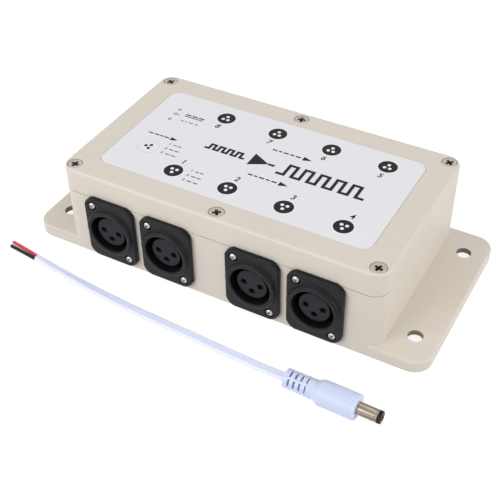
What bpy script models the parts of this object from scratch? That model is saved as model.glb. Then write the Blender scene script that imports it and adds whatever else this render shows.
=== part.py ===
"""An eight-way stage lighting signal amplifier in a plastic wall box, with its loose power lead.

The box stands on the XY plane with its length along X. Its centre is the origin, +Z is up and the
front, with outputs 1 to 4, faces -Y. Outputs 5 to 8 are on the back, and the signal input and the
power jack are on the left end, at -X. All sizes are in metres.
"""
import math

import bmesh
import bpy
from mathutils import Matrix, Vector

# The gap that two touching pieces keep
SEAT_GAP = 0.0003

# Case
CASE_LENGTH = 0.158
CASE_WIDTH = 0.090
CASE_CORNER = 0.007
SEAM_BELOW_FLANGE_TOPS = 0.0013
LID_HEIGHT = 0.012
LID_EDGE_ROUND = 0.0014
LID_ROOF = 0.003
WALL = 0.003
FLOOR = 0.003
LIP_DEPTH = 0.0012
LIP_THICKNESS = 0.0015
LIP_ROOT = 0.002
SEAL_GROOVE_WIDTH = 0.0014
SEAL_GROOVE_DEPTH = 0.001

# Mounting ears, hollow underneath
EAR_REACH = 0.021
EAR_THICKNESS = 0.006
EAR_PLATE = 0.0027
EAR_SKIRT = 0.0025
EAR_CORNER = 0.0085
EAR_EDGE_ROUND = 0.0007
EAR_HOLE_RADIUS = 0.0034
EAR_HOLE_FROM_END = 0.0105
EAR_HOLE_SPACING = 0.060

# Lid screws and the bosses they go into
SCREW_INSET = 0.0052
SCREW_LENGTH = 0.022
SCREW_SHANK_RADIUS = 0.0019
SCREW_HEAD_RADIUS = 0.0034
SCREW_HEAD_RIM = 0.0003
SCREW_SUNK = 0.0005
BOSS_RADIUS = 0.005
COLUMN_SHY = 0.0005
SCREW_TIP = 0.0007
CROSS_LENGTH = 0.0042
CROSS_WIDTH = 0.0009
CROSS_DEPTH = 0.0014

# Label in its shallow pocket
LABEL_LENGTH = 0.133
LABEL_WIDTH = 0.066
LABEL_CORNER = 0.005
LABEL_FILM = 0.0004
LABEL_POCKET = 0.0008

# Three-pin sockets, which share one flange. They are spread along each long wall by its length.
SOCKET_SPREAD = (-0.3323, -0.1449, 0.1297, 0.3171)
SOCKET_ABOVE_TABLE = 0.0023
FLANGE_WIDTH = 0.026
FLANGE_HEIGHT = 0.033
FLANGE_THICKNESS = 0.0022
FLANGE_CORNER = 0.0042
FLANGE_BEVEL = 0.0007
RING_RADIUS = 0.012
RING_HEIGHT = 0.0014
RING_BEVEL = 0.0006
BARREL_RADIUS = 0.0116
BARREL_DEPTH = 0.018
BORE_RADIUS = 0.0096
CORE_RADIUS = 0.0073
CORE_RECESS = 0.002
CORE_EDGE = 0.0004
INSERT_BASE = 0.005
CONTACT_CIRCLE = 0.004
CONTACT_HOLE_RADIUS = 0.0013
CONTACT_HOLE_DEPTH = 0.012
TAIL_RADIUS = 0.0005
TAIL_RUN = 0.004
FLANGE_SCREW_X = 0.0087
FLANGE_SCREW_Y = 0.0124
FLANGE_SCREW_HEAD = 0.0019
FLANGE_SCREW_HEAD_HEIGHT = 0.0012
FLANGE_SCREW_SHANK = 0.00125
FLANGE_SCREW_LENGTH = 0.008
FLANGE_SCREW_SINK = 0.001
FLANGE_SCREW_DOME = 0.0006
FLANGE_SCREW_DRIVE = 0.0013

# Signal input, a cup with three pins whose flange lies on its side above the ear. It and the power
# jack beside it are spread along the end wall by the case's width.
INPUT_SPREAD = -0.13611
INPUT_ABOVE_EAR = 0.0006
INPUT_CUP_RADIUS = 0.0081
INPUT_PIN_RADIUS = 0.0012
INPUT_PIN_SET_BACK = 0.0035
INPUT_DISC = 0.006

# Power jack beside the input
JACK_SPREAD = 0.16667
JACK_ABOVE_EAR = 0.0054
JACK_BEZEL_RADIUS = 0.007
JACK_BEZEL_THICKNESS = 0.002
JACK_BODY_RADIUS = 0.0054
JACK_BODY_DEPTH = 0.0165
JACK_BORE_RADIUS = 0.0032
JACK_BORE_DEPTH = 0.010
JACK_PIN_RADIUS = 0.001
JACK_PIN_SET_BACK = 0.001
JACK_NUT_RADIUS = 0.0078
JACK_NUT_THICKNESS = 0.0025
JACK_LUG_LENGTH = 0.004
JACK_LUG_WIDTH = 0.002
JACK_LUG_THICKNESS = 0.0005
JACK_LUG_SPREAD = 0.0035
JACK_EDGE = 0.0008

# Circuit board and what it carries
BOARD_THICKNESS = 0.0016
BOARD_HEIGHT = 0.0075
BOARD_MARGIN = 0.0027
BOARD_RIGHT = 0.066
BOARD_POST_RADIUS = 0.003
BOARD_POST_LEFT = -0.0377
BOARD_POST_RIGHT = 0.0620
BOARD_POST_FROM_EDGE = 0.0065
BOARD_SCREW_RADIUS = 0.0012
BOARD_SCREW_HEAD = 0.0024
BOARD_SCREW_HEAD_HEIGHT = 0.0014
BOARD_SCREW_LENGTH = 0.0045
SOLDERED = 0.0006
TAIL_BELOW_BOARD = 0.0012
CHIP_LENGTH = 0.0098
CHIP_WIDTH = 0.0064
CHIP_HEIGHT = 0.0034
CHIP_ROW_FROM_EDGE = 0.013
CHIP_SHIFT = 0.006
RECEIVER_X = -0.040
RECEIVER_Y = -0.002
REGULATOR_X = 0.034
REGULATOR_WIDTH = 0.010
REGULATOR_DEPTH = 0.0045
REGULATOR_HEIGHT = 0.015
SINK_WIDTH = 0.016
SINK_PLATE = 0.002
SINK_HEIGHT = 0.016
SINK_FIN_REACH = 0.005
SINK_FIN_THICKNESS = 0.001
SINK_FINS = 4
CAPACITOR_RADIUS = 0.005
CAPACITOR_HEIGHT = 0.013
CAPACITOR_X = (-0.004, 0.012)
WIRE_RADIUS = 0.0007
WIRE_BEND = 0.0021
WIRE_PAD_FROM_EDGE = 0.0035
WIRE_PAD_Y = (0.003, 0.0065)

# Loose power lead: the jacket's route over the table, from the plug to the stripped end
JACKET_RADIUS = 0.0022
JACKET_ROUTE = (
    (0.0517, -0.0758),
    (0.0448, -0.0747),
    (0.0338, -0.0730),
    (0.0123, -0.0712),
    (-0.0042, -0.0703),
    (-0.0215, -0.0695),
    (-0.0351, -0.0687),
    (-0.0518, -0.0671),
    (-0.0679, -0.0651),
    (-0.0867, -0.0623),
)
JACKET_RISE = (1.0, 0.65, 0.25)
# The spot on the table that the plug points at from the jacket's first point
PLUG_POINTS_AT = (0.0942, -0.0765)
JACKET_POINTS = 16
# What a bend between jacket and plug takes up at the jacket's edge, as a share of its radius
PLUG_BEND = 0.22
CORE_WIRE_RADIUS = 0.00075
CORE_WIRE_LENGTH = 0.0155
CORE_WIRE_SPREAD = 0.0011
BARE_END_RADIUS = 0.0004
BARE_END_LENGTH = 0.0018
RELIEF_LENGTH = 0.0132
RELIEF_ROOT_RADIUS = 0.0041
RELIEF_RADIUS = 0.00425
RELIEF_SLOTS = 4
RELIEF_SLOT_FIRST = 0.0014
RELIEF_SLOT_WIDTH = 0.0008
RELIEF_SLOT_PITCH = 0.00245
RELIEF_SLOT_DEPTH = 0.0014
RELIEF_SLOT_SPAN = 0.0031
# Where the narrow rib of a slot pair lies round the plug, and how far from it the two slots are
RELIEF_RIB_TURN = math.radians(131)
RELIEF_SLOT_TURN = math.radians(32.5)
GRIP_LENGTH = 0.0184
GRIP_RADIUS = 0.00555
GRIP_SHOULDER = 0.0025
GRIP_EDGE = 0.0005
PLUG_SLEEVE_RADIUS = 0.00275
PLUG_SLEEVE_BORE = 0.0016
PLUG_SLEEVE_LENGTH = 0.0087
PLUG_SLEEVE_SEAT = 0.004
PLUG_TIP_LENGTH = 0.0016
PLUG_TIP_BORE = 0.0011

# How round pieces are cut into flat sides
CORNER_STEPS = 4
RING_SIDES = 20
HOLE_SIDES = 10
SMALL_SIDES = 6
TAIL_SIDES = 4
SCREW_SIDES = 12
FLANGE_STEPS = 2
WIRE_STEPS = 6
# The tightest corner that an inner outline keeps
LEAST_CORNER = 0.001
# How far a cutter runs past the face it opens, and how far joined shapes run into each other
CUT_PAST = 0.002
BITE = 0.001

SOCKET_HEIGHT = SOCKET_ABOVE_TABLE + FLANGE_HEIGHT / 2
LID_BOTTOM = SOCKET_HEIGHT + FLANGE_HEIGHT / 2 - SEAM_BELOW_FLANGE_TOPS
CASE_HEIGHT = LID_BOTTOM + LID_HEIGHT
BASE_TOP = LID_BOTTOM - SEAT_GAP
SOCKET_X = [share * CASE_LENGTH for share in SOCKET_SPREAD]
SCREW_X = CASE_LENGTH / 2 - SCREW_INSET
SCREW_Y = CASE_WIDTH / 2 - SCREW_INSET
SCREW_PLACES = [(x, y) for x in (-SCREW_X, 0, SCREW_X) for y in (-SCREW_Y, SCREW_Y)]
FLANGE_SCREW_PLACES = ((-FLANGE_SCREW_X, FLANGE_SCREW_Y), (FLANGE_SCREW_X, -FLANGE_SCREW_Y))
INPUT_Y = INPUT_SPREAD * CASE_WIDTH
INPUT_HEIGHT = EAR_THICKNESS + INPUT_ABOVE_EAR + FLANGE_WIDTH / 2
JACK_Y = JACK_SPREAD * CASE_WIDTH
JACK_HEIGHT = EAR_THICKNESS + JACK_ABOVE_EAR + JACK_BEZEL_RADIUS
CONTACT_PLACES = ((-CONTACT_CIRCLE, 0), (CONTACT_CIRCLE, 0), (0, -CONTACT_CIRCLE))
BOARD_TOP = BOARD_HEIGHT + BOARD_THICKNESS
TAIL_BACK = BARREL_DEPTH + TAIL_RUN
BOARD_HALF = CASE_WIDTH / 2 + SEAT_GAP - TAIL_BACK + BOARD_MARGIN
BOARD_LEFT = -CASE_LENGTH / 2 - SEAT_GAP + TAIL_BACK - BOARD_MARGIN
BOARD_POST_Y = BOARD_HALF - BOARD_POST_FROM_EDGE
CHIP_ROW_Y = BOARD_HALF - CHIP_ROW_FROM_EDGE
POST_PLACES = [
    (x, y) for x in (BOARD_POST_LEFT, BOARD_POST_RIGHT) for y in (-BOARD_POST_Y, BOARD_POST_Y)
]
WIRE_PAD_X = BOARD_LEFT + WIRE_PAD_FROM_EDGE
EAR_HOLE_X = CASE_LENGTH / 2 + EAR_REACH - EAR_HOLE_FROM_END
EAR_HOLE_PLACES = [(s * EAR_HOLE_X, t * EAR_HOLE_SPACING / 2) for s in (-1, 1) for t in (-1, 1)]

FRONT, BACK, LEFT = 0, math.pi, -math.pi / 2


def clear_scene():
    for obj in list(bpy.data.objects):
        bpy.data.objects.remove(obj)


def material(name, colour, roughness, metallic=0.0):
    made = bpy.data.materials.new(name)
    made.use_nodes = True
    shader = made.node_tree.nodes["Principled BSDF"]
    shader.inputs["Base Color"].default_value = (*colour, 1)
    shader.inputs["Roughness"].default_value = roughness
    shader.inputs["Metallic"].default_value = metallic
    return made


def place(name, mesh, finish, location=(0, 0, 0), turn=None):
    """Puts a mesh in the scene as one named piece. turn is the way that a socket's piece faces."""
    obj = bpy.data.objects.new(name, mesh)
    if not mesh.materials:
        mesh.materials.append(finish)
    obj.location = location
    if turn is not None:
        obj.rotation_euler = (math.pi / 2, 0, turn)
    bpy.context.scene.collection.objects.link(obj)
    return obj


# Shapes


def finish_mesh(bm, name):
    bmesh.ops.recalc_face_normals(bm, faces=bm.faces)
    mesh = bpy.data.meshes.new(name)
    bm.to_mesh(mesh)
    bm.free()
    return mesh


def rounded_outline(length, width, radius, steps=CORNER_STEPS):
    """A rectangle round the origin with rounded corners, anticlockwise from its +X side."""
    points = []
    for quarter, (sx, sy) in enumerate(((1, 1), (-1, 1), (-1, -1), (1, -1))):
        cx = sx * (length / 2 - radius)
        cy = sy * (width / 2 - radius)
        for k in range(steps + 1):
            a = math.pi / 2 * (quarter + k / steps)
            points.append((cx + radius * math.cos(a), cy + radius * math.sin(a)))
    return points


def loft(levels):
    """A closed solid through flat outlines, given as (outline, height) from bottom to top."""
    bm = bmesh.new()
    rings = [[bm.verts.new((x, y, z)) for x, y in outline] for outline, z in levels]
    for low, high in zip(rings, rings[1:]):
        for k in range(len(low)):
            n = (k + 1) % len(low)
            bm.faces.new((low[k], low[n], high[n], high[k]))
    bm.faces.new(list(reversed(rings[0])))
    bm.faces.new(rings[-1])
    return finish_mesh(bm, "loft")


def prism(outline, bottom, top):
    return loft([(outline, bottom), (outline, top)])


def circle(radius, sides, centre=(0, 0)):
    """A circle's points, with a flat side towards +X so that stacked rings line up."""
    points = []
    for k in range(sides):
        a = 2 * math.pi * (k + 0.5) / sides
        points.append((centre[0] + radius * math.cos(a), centre[1] + radius * math.sin(a)))
    return points


def rod(radius, bottom, top, centre=(0, 0), sides=HOLE_SIDES):
    return prism(circle(radius, sides, centre), bottom, top)


def box(low, high):
    outline = ((low[0], low[1]), (high[0], low[1]), (high[0], high[1]), (low[0], high[1]))
    return prism(outline, low[2], high[2])


def turned(profile, sides=RING_SIDES):
    """A solid turned about Z from a closed profile of (radius, height) points."""
    bm = bmesh.new()
    rings = []
    for radius, height in profile:
        outline = circle(radius, sides) if radius else [(0, 0)]
        rings.append([bm.verts.new((x, y, height)) for x, y in outline])
    for here, there in zip(rings, rings[1:] + rings[:1]):
        if len(here) == len(there) == 1:
            continue
        for k in range(sides):
            n = (k + 1) % sides
            corners = [here[k % len(here)], here[n % len(here)]]
            corners += [there[n % len(there)], there[k % len(there)]]
            bm.faces.new(list(dict.fromkeys(corners)))
    return finish_mesh(bm, "turned")


def swept(points, radius, sides=TAIL_SIDES):
    """A round wire along a path in space, mitred at its bends, with its ends closed square."""
    path = [Vector(p) for p in points]
    bm = bmesh.new()
    rings = []
    side = None
    for k, here in enumerate(path):
        before = (here - path[k - 1]).normalized() if k else (path[1] - here).normalized()
        after = (path[k + 1] - here).normalized() if k + 1 < len(path) else before
        along = (before + after).normalized()
        side = along.orthogonal() if side is None else side - along * side.dot(along)
        side.normalize()
        over = along.cross(side)
        bend = after - before
        ring = []
        for x, y in circle(radius, sides):
            offset = side * x + over * y
            if bend.length > 1e-4:
                outward = bend.normalized()
                offset += outward * offset.dot(outward) * (1 / along.dot(after) - 1)
            ring.append(bm.verts.new(here + offset))
        rings.append(ring)
    for low, high in zip(rings, rings[1:]):
        for k in range(sides):
            n = (k + 1) % sides
            bm.faces.new((low[k], low[n], high[n], high[k]))
    bm.faces.new(list(reversed(rings[0])))
    bm.faces.new(rings[-1])
    return finish_mesh(bm, "swept")


def gather(meshes):
    """Several shapes that don't touch, as one cutter or one set to join on."""
    bm = bmesh.new()
    for mesh in meshes:
        bm.from_mesh(mesh)
    group = bpy.data.meshes.new("group")
    bm.to_mesh(group)
    bm.free()
    return group


def shifted(mesh, matrix):
    copy = mesh.copy()
    copy.transform(matrix)
    return copy


def moved(mesh, x=0, y=0, z=0):
    return shifted(mesh, Matrix.Translation((x, y, z)))


def spun(mesh, angle):
    return shifted(mesh, Matrix.Rotation(angle, 4, "Z"))


def combined(mesh, others, operation):
    """The mesh after a Boolean with each of the others in turn."""
    body = bpy.data.objects.new("body", mesh)
    bpy.context.scene.collection.objects.link(body)
    tools = []
    for other in others:
        tool = bpy.data.objects.new("tool", other)
        bpy.context.scene.collection.objects.link(tool)
        step = body.modifiers.new("step", "BOOLEAN")
        step.operation = operation
        step.solver = "EXACT"
        step.object = tool
        tools.append(tool)
    bpy.context.view_layer.update()
    graph = bpy.context.evaluated_depsgraph_get()
    made = bpy.data.meshes.new_from_object(body.evaluated_get(graph))
    for obj in [body, *tools]:
        bpy.data.objects.remove(obj)
    return made


def joined(mesh, *others):
    return combined(mesh, others, "UNION")


def cut(mesh, *others):
    return combined(mesh, others, "DIFFERENCE")


def kept(mesh, *others):
    return combined(mesh, others, "INTERSECT")


def smooth(mesh, angle=30):
    mesh.shade_smooth()
    mesh.set_sharp_from_angle(angle=math.radians(angle))
    return mesh


def rounded_top(length, width, corner, bottom, top, edge, steps=2):
    """A slab with rounded corners and a rounded top edge, in levels for loft."""
    levels = [(rounded_outline(length, width, corner), bottom)]
    for k in range(steps + 1):
        a = math.pi / 2 * k / steps
        inset = edge * (1 - math.cos(a))
        outline = rounded_outline(length - 2 * inset, width - 2 * inset, corner - inset)
        levels.append((outline, top - edge + edge * math.sin(a)))
    return levels


def frame_between(outer, inner, bottom, top):
    """A flat-topped frame between two outlines that have as many points as each other."""
    bm = bmesh.new()
    rings = []
    for outline, z in ((outer, bottom), (outer, top), (inner, top), (inner, bottom)):
        rings.append([bm.verts.new((x, y, z)) for x, y in outline])
    for here, there in zip(rings, rings[1:] + rings[:1]):
        for k in range(len(here)):
            n = (k + 1) % len(here)
            bm.faces.new((here[k], here[n], there[n], there[k]))
    return finish_mesh(bm, "frame")


def case_outline(inset):
    """The case's outline, drawn in by an inset."""
    length = CASE_LENGTH - 2 * inset
    width = CASE_WIDTH - 2 * inset
    return rounded_outline(length, width, max(CASE_CORNER - inset, LEAST_CORNER))


# Where the sockets sit. In a socket's own frame +Z points out of the wall and +Y is up.


def output_places():
    """Number, location and facing of each output: 1 to 4 along the front, 5 to 8 back along the rear."""
    wall = CASE_WIDTH / 2 + SEAT_GAP
    places = [(k + 1, (x, -wall, SOCKET_HEIGHT), FRONT) for k, x in enumerate(SOCKET_X)]
    places += [(8 - k, (x, wall, SOCKET_HEIGHT), BACK) for k, x in enumerate(SOCKET_X)]
    return places


def on_left_wall(y, z):
    return (-CASE_LENGTH / 2 - SEAT_GAP, y, z)


def facing(location, turn):
    """The matrix from a socket's own frame to the case."""
    stand = Matrix.Rotation(turn, 4, "Z") @ Matrix.Rotation(math.pi / 2, 4, "X")
    return Matrix.Translation(location) @ stand


def wall_cutter(radius, sides=RING_SIDES, centre=(0, 0)):
    return rod(radius + SEAT_GAP, -WALL - SEAT_GAP - BITE, BITE, centre, sides)


def socket_cutter():
    """The holes that one socket needs in the wall: for its barrel and for its two screws."""
    holes = [wall_cutter(BARREL_RADIUS)]
    holes += [wall_cutter(FLANGE_SCREW_SHANK, SMALL_SIDES, p) for p in FLANGE_SCREW_PLACES]
    return gather(holes)


# Case


def boss_set(bottom, top, radius):
    return gather([rod(radius, bottom, top, p) for p in SCREW_PLACES])


def ear_hollow(side):
    """The space under one ear, open to the table, inside the ear's skirt."""
    length = EAR_REACH - 2 * EAR_SKIRT
    outline = rounded_outline(length, CASE_WIDTH - 2 * EAR_SKIRT, EAR_CORNER - EAR_SKIRT)
    hollow = prism(outline, -CUT_PAST, EAR_THICKNESS - EAR_PLATE)
    return moved(hollow, side * (CASE_LENGTH + EAR_REACH) / 2)


def make_base(finish):
    body = prism(case_outline(0), 0, BASE_TOP)
    length = CASE_LENGTH + 2 * EAR_REACH
    ears = rounded_top(length, CASE_WIDTH, EAR_CORNER, 0, EAR_THICKNESS, EAR_EDGE_ROUND)
    body = joined(body, loft(ears))
    body = cut(body, prism(case_outline(WALL), FLOOR, BASE_TOP + CUT_PAST))
    body = cut(body, gather([ear_hollow(-1), ear_hollow(1)]))
    inside = prism(case_outline(WALL / 2), FLOOR - BITE, BASE_TOP)
    bosses = kept(boss_set(FLOOR - BITE, BASE_TOP, BOSS_RADIUS), inside)
    post_top = BOARD_HEIGHT - SEAT_GAP
    posts = [rod(BOARD_POST_RADIUS, FLOOR - BITE, post_top, p) for p in POST_PLACES]
    body = joined(body, bosses, gather(posts))
    screw_foot = CASE_HEIGHT - SCREW_SUNK - SCREW_LENGTH - SEAT_GAP
    past = BASE_TOP + CUT_PAST
    hole = SCREW_SHANK_RADIUS + SEAT_GAP
    holes = [rod(hole, screw_foot, past, p, SMALL_SIDES) for p in SCREW_PLACES]
    board_foot = BOARD_TOP - BOARD_SCREW_LENGTH
    hole = BOARD_SCREW_RADIUS + SEAT_GAP
    holes += [rod(hole, board_foot, BOARD_HEIGHT, p, SMALL_SIDES) for p in POST_PLACES]
    past = EAR_THICKNESS + CUT_PAST
    holes += [rod(EAR_HOLE_RADIUS, -CUT_PAST, past, p, RING_SIDES) for p in EAR_HOLE_PLACES]
    for _, location, turn in output_places():
        holes.append(shifted(socket_cutter(), facing(location, turn)))
    on_side = spun(socket_cutter(), math.pi / 2)
    holes.append(shifted(on_side, facing(on_left_wall(INPUT_Y, INPUT_HEIGHT), LEFT)))
    jack_hole = wall_cutter(JACK_BODY_RADIUS)
    holes.append(shifted(jack_hole, facing(on_left_wall(JACK_Y, JACK_HEIGHT), LEFT)))
    place("case_base", smooth(cut(body, gather(holes))), finish)


def screw_way():
    """The screw's way through the lid: a hole, a cone under the head and a mouth above it."""
    hole = SCREW_SHANK_RADIUS + SEAT_GAP
    mouth = SCREW_HEAD_RADIUS + SEAT_GAP
    cone_top = -SCREW_SUNK - SCREW_HEAD_RIM
    cone_bottom = cone_top - (mouth - hole)
    bottom = -LID_HEIGHT - CUT_PAST
    profile = [
        (0, bottom),
        (hole, bottom),
        (hole, cone_bottom),
        (mouth, cone_top),
        (mouth, CUT_PAST),
        (0, CUT_PAST),
    ]
    return turned(profile)


def make_lid(finish):
    across = (CASE_LENGTH, CASE_WIDTH, CASE_CORNER)
    shell = rounded_top(*across, LID_BOTTOM, CASE_HEIGHT, LID_EDGE_ROUND, steps=3)
    roof = CASE_HEIGHT - LID_ROOF
    body = cut(loft(shell), prism(case_outline(WALL), LID_BOTTOM - CUT_PAST, roof))
    lip_foot = LID_BOTTOM - LIP_DEPTH
    lip_top = LID_BOTTOM + LIP_ROOT
    lip_inside = case_outline(WALL + SEAT_GAP + LIP_THICKNESS)
    lip = frame_between(case_outline(WALL + SEAT_GAP), lip_inside, lip_foot, lip_top)
    lip = cut(lip, boss_set(lip_foot - CUT_PAST, LID_BOTTOM, BOSS_RADIUS + SEAT_GAP))
    root_foot = LID_BOTTOM + COLUMN_SHY / 2
    root_inside = case_outline(WALL + LIP_THICKNESS)
    root_top = lip_top - BITE / 2
    root = frame_between(case_outline(WALL - BITE), root_inside, root_foot, root_top)
    foot = LID_BOTTOM + COLUMN_SHY
    inside = prism(case_outline(WALL / 2), foot - BITE, CASE_HEIGHT - LID_ROOF / 2)
    columns = kept(boss_set(foot, CASE_HEIGHT, BOSS_RADIUS), inside)
    body = joined(body, root, lip, columns)
    body = cut(body, gather([moved(screw_way(), *p, CASE_HEIGHT) for p in SCREW_PLACES]))
    pocket = rounded_outline(
        LABEL_LENGTH + 2 * SEAT_GAP, LABEL_WIDTH + 2 * SEAT_GAP, LABEL_CORNER + SEAT_GAP
    )
    body = cut(body, prism(pocket, CASE_HEIGHT - LABEL_POCKET, CASE_HEIGHT + CUT_PAST))
    half = SEAL_GROOVE_WIDTH / 2
    groove = frame_between(
        case_outline(WALL / 2 - half),
        case_outline(WALL / 2 + half),
        LID_BOTTOM - SEAT_GAP / 2,
        LID_BOTTOM + SEAL_GROOVE_DEPTH,
    )
    place("case_lid", smooth(cut(body, groove)), finish)


def make_seal(finish):
    half = SEAL_GROOVE_WIDTH / 2 - SEAT_GAP
    top = LID_BOTTOM + SEAL_GROOVE_DEPTH - SEAT_GAP
    inside = case_outline(WALL / 2 + half)
    seal = frame_between(case_outline(WALL / 2 - half), inside, LID_BOTTOM, top)
    place("lid_seal", smooth(seal), finish)


def make_label(finish):
    bottom = CASE_HEIGHT - LABEL_POCKET + SEAT_GAP
    outline = rounded_outline(LABEL_LENGTH, LABEL_WIDTH, LABEL_CORNER)
    place("top_label", prism(outline, bottom, bottom + LABEL_FILM), finish)


def make_lid_screws(finish):
    """Countersunk screws with a cross recess. The screw hangs from the top of its head."""
    tip = -SCREW_LENGTH
    shank = SCREW_SHANK_RADIUS
    profile = [
        (0, tip),
        (shank - SCREW_TIP, tip),
        (shank, tip + SCREW_TIP),
        (shank, -SCREW_HEAD_RIM - (SCREW_HEAD_RADIUS - shank)),
        (SCREW_HEAD_RADIUS, -SCREW_HEAD_RIM),
        (SCREW_HEAD_RADIUS, 0),
        (0, 0),
    ]
    arm = CROSS_LENGTH / 2
    half = CROSS_WIDTH / 2
    slot = box((-arm, -half, -CROSS_DEPTH), (arm, half, CUT_PAST))
    screw = smooth(cut(turned(profile, SCREW_SIDES), slot, spun(slot, math.pi / 2)))
    for number, (x, y) in enumerate(SCREW_PLACES, 1):
        place(f"lid_screw_{number}", screw, finish, (x, y, CASE_HEIGHT - SCREW_SUNK))


# Sockets


def shell_mesh(cup_radius):
    """A flange with a raised ring, on a barrel that is open at both ends."""
    corner = FLANGE_CORNER - FLANGE_BEVEL
    edge = rounded_outline(FLANGE_WIDTH, FLANGE_HEIGHT, FLANGE_CORNER, FLANGE_STEPS)
    top = rounded_outline(
        FLANGE_WIDTH - 2 * FLANGE_BEVEL, FLANGE_HEIGHT - 2 * FLANGE_BEVEL, corner, FLANGE_STEPS
    )
    plate = loft([(edge, 0), (edge, FLANGE_THICKNESS - FLANGE_BEVEL), (top, FLANGE_THICKNESS)])
    middle = FLANGE_THICKNESS / 2
    ring_top = FLANGE_THICKNESS + RING_HEIGHT
    profile = [
        (0, -BARREL_DEPTH),
        (BARREL_RADIUS, -BARREL_DEPTH),
        (BARREL_RADIUS, middle),
        (RING_RADIUS, middle),
        (RING_RADIUS, ring_top - RING_BEVEL),
        (RING_RADIUS - RING_BEVEL, ring_top),
        (0, ring_top),
    ]
    body = joined(plate, turned(profile))
    bore = rod(cup_radius, -BARREL_DEPTH - CUT_PAST, ring_top + CUT_PAST, sides=RING_SIDES)
    hole = FLANGE_SCREW_SHANK + SEAT_GAP
    mouth = FLANGE_SCREW_HEAD + SEAT_GAP
    floor = FLANGE_THICKNESS - FLANGE_SCREW_SINK
    past = FLANGE_THICKNESS + CUT_PAST
    holes = gather([rod(hole, -CUT_PAST, past, p, SMALL_SIDES) for p in FLANGE_SCREW_PLACES])
    mouths = gather([rod(mouth, floor, past, p) for p in FLANGE_SCREW_PLACES])
    return smooth(cut(body, bore, holes, mouths))


def tail(x, y, height):
    """A contact's tail, back from the insert and then down through the board."""
    foot = BOARD_HEIGHT - TAIL_BELOW_BOARD - height
    path = [(x, y, -BARREL_DEPTH + BITE), (x, y, -TAIL_BACK), (x, foot, -TAIL_BACK)]
    return swept(path, TAIL_RADIUS)


def output_insert_mesh():
    """The round core with its three contacts, on a base that fills the back of the barrel."""
    front = FLANGE_THICKNESS + RING_HEIGHT - CORE_RECESS
    back = -BARREL_DEPTH
    base = BORE_RADIUS - SEAT_GAP
    profile = [
        (0, back),
        (base, back),
        (base, back + INSERT_BASE),
        (CORE_RADIUS, back + INSERT_BASE),
        (CORE_RADIUS, front - CORE_EDGE),
        (CORE_RADIUS - CORE_EDGE, front),
        (0, front),
    ]
    floor = front - CONTACT_HOLE_DEPTH
    hole = CONTACT_HOLE_RADIUS
    holes = [rod(hole, floor, front + CUT_PAST, p, SMALL_SIDES) for p in CONTACT_PLACES]
    body = cut(turned(profile), gather(holes))
    return smooth(joined(body, gather([tail(x, y, SOCKET_HEIGHT) for x, y in CONTACT_PLACES])))


def flange_screw_mesh():
    """A pan-head screw with a square recess, measured from the flange's back face."""
    seat = FLANGE_THICKNESS - FLANGE_SCREW_SINK + SEAT_GAP
    top = seat + FLANGE_SCREW_HEAD_HEIGHT
    rim = top - FLANGE_SCREW_DOME
    profile = [
        (0, seat - FLANGE_SCREW_LENGTH),
        (FLANGE_SCREW_SHANK, seat - FLANGE_SCREW_LENGTH),
        (FLANGE_SCREW_SHANK, seat),
        (FLANGE_SCREW_HEAD, seat),
        (FLANGE_SCREW_HEAD, rim),
        (FLANGE_SCREW_HEAD - FLANGE_SCREW_DOME, top),
        (0, top),
    ]
    half = FLANGE_SCREW_DRIVE / 2
    drive = box((-half, -half, rim), (half, half, top + CUT_PAST))
    return smooth(cut(turned(profile, SMALL_SIDES), drive))


def make_outputs(black, dark, steel):
    shell, insert, screw = shell_mesh(BORE_RADIUS), output_insert_mesh(), flange_screw_mesh()
    for number, location, turn in output_places():
        place(f"output_shell_{number}", shell, black, location, turn)
        place(f"output_insert_{number}", insert, dark, location, turn)
        for side, (x, y) in zip(("upper", "lower"), FLANGE_SCREW_PLACES):
            spot = facing(location, turn) @ Vector((x, y, 0))
            place(f"output_screw_{side}_{number}", screw, steel, spot, turn)


def make_input(black, dark, steel):
    """The input's shell lies on its side, and its insert stays upright with two pins above one."""
    location = on_left_wall(INPUT_Y, INPUT_HEIGHT)
    shell = smooth(spun(shell_mesh(INPUT_CUP_RADIUS), math.pi / 2))
    place("input_shell", shell, black, location, LEFT)
    back = -BARREL_DEPTH
    disc = rod(INPUT_CUP_RADIUS - SEAT_GAP, back, back + INPUT_DISC, sides=RING_SIDES)
    tip = FLANGE_THICKNESS + RING_HEIGHT - INPUT_PIN_SET_BACK
    point = INPUT_PIN_RADIUS / 2
    profile = [
        (0, back + BITE),
        (INPUT_PIN_RADIUS, back + BITE),
        (INPUT_PIN_RADIUS, tip - point),
        (INPUT_PIN_RADIUS - point, tip),
        (0, tip),
    ]
    pin = turned(profile, SMALL_SIDES)
    pins = gather([moved(pin, x, y) for x, y in CONTACT_PLACES])
    tails = gather([tail(x, y, INPUT_HEIGHT) for x, y in CONTACT_PLACES])
    place("input_insert", smooth(joined(disc, pins, tails)), dark, location, LEFT)
    screw = flange_screw_mesh()
    quarter = Matrix.Rotation(math.pi / 2, 4, "Z")
    for side, (x, y) in zip(("front", "rear"), FLANGE_SCREW_PLACES):
        spot = facing(location, LEFT) @ quarter @ Vector((x, y, 0))
        place(f"input_screw_{side}", screw, steel, spot, LEFT)


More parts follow.
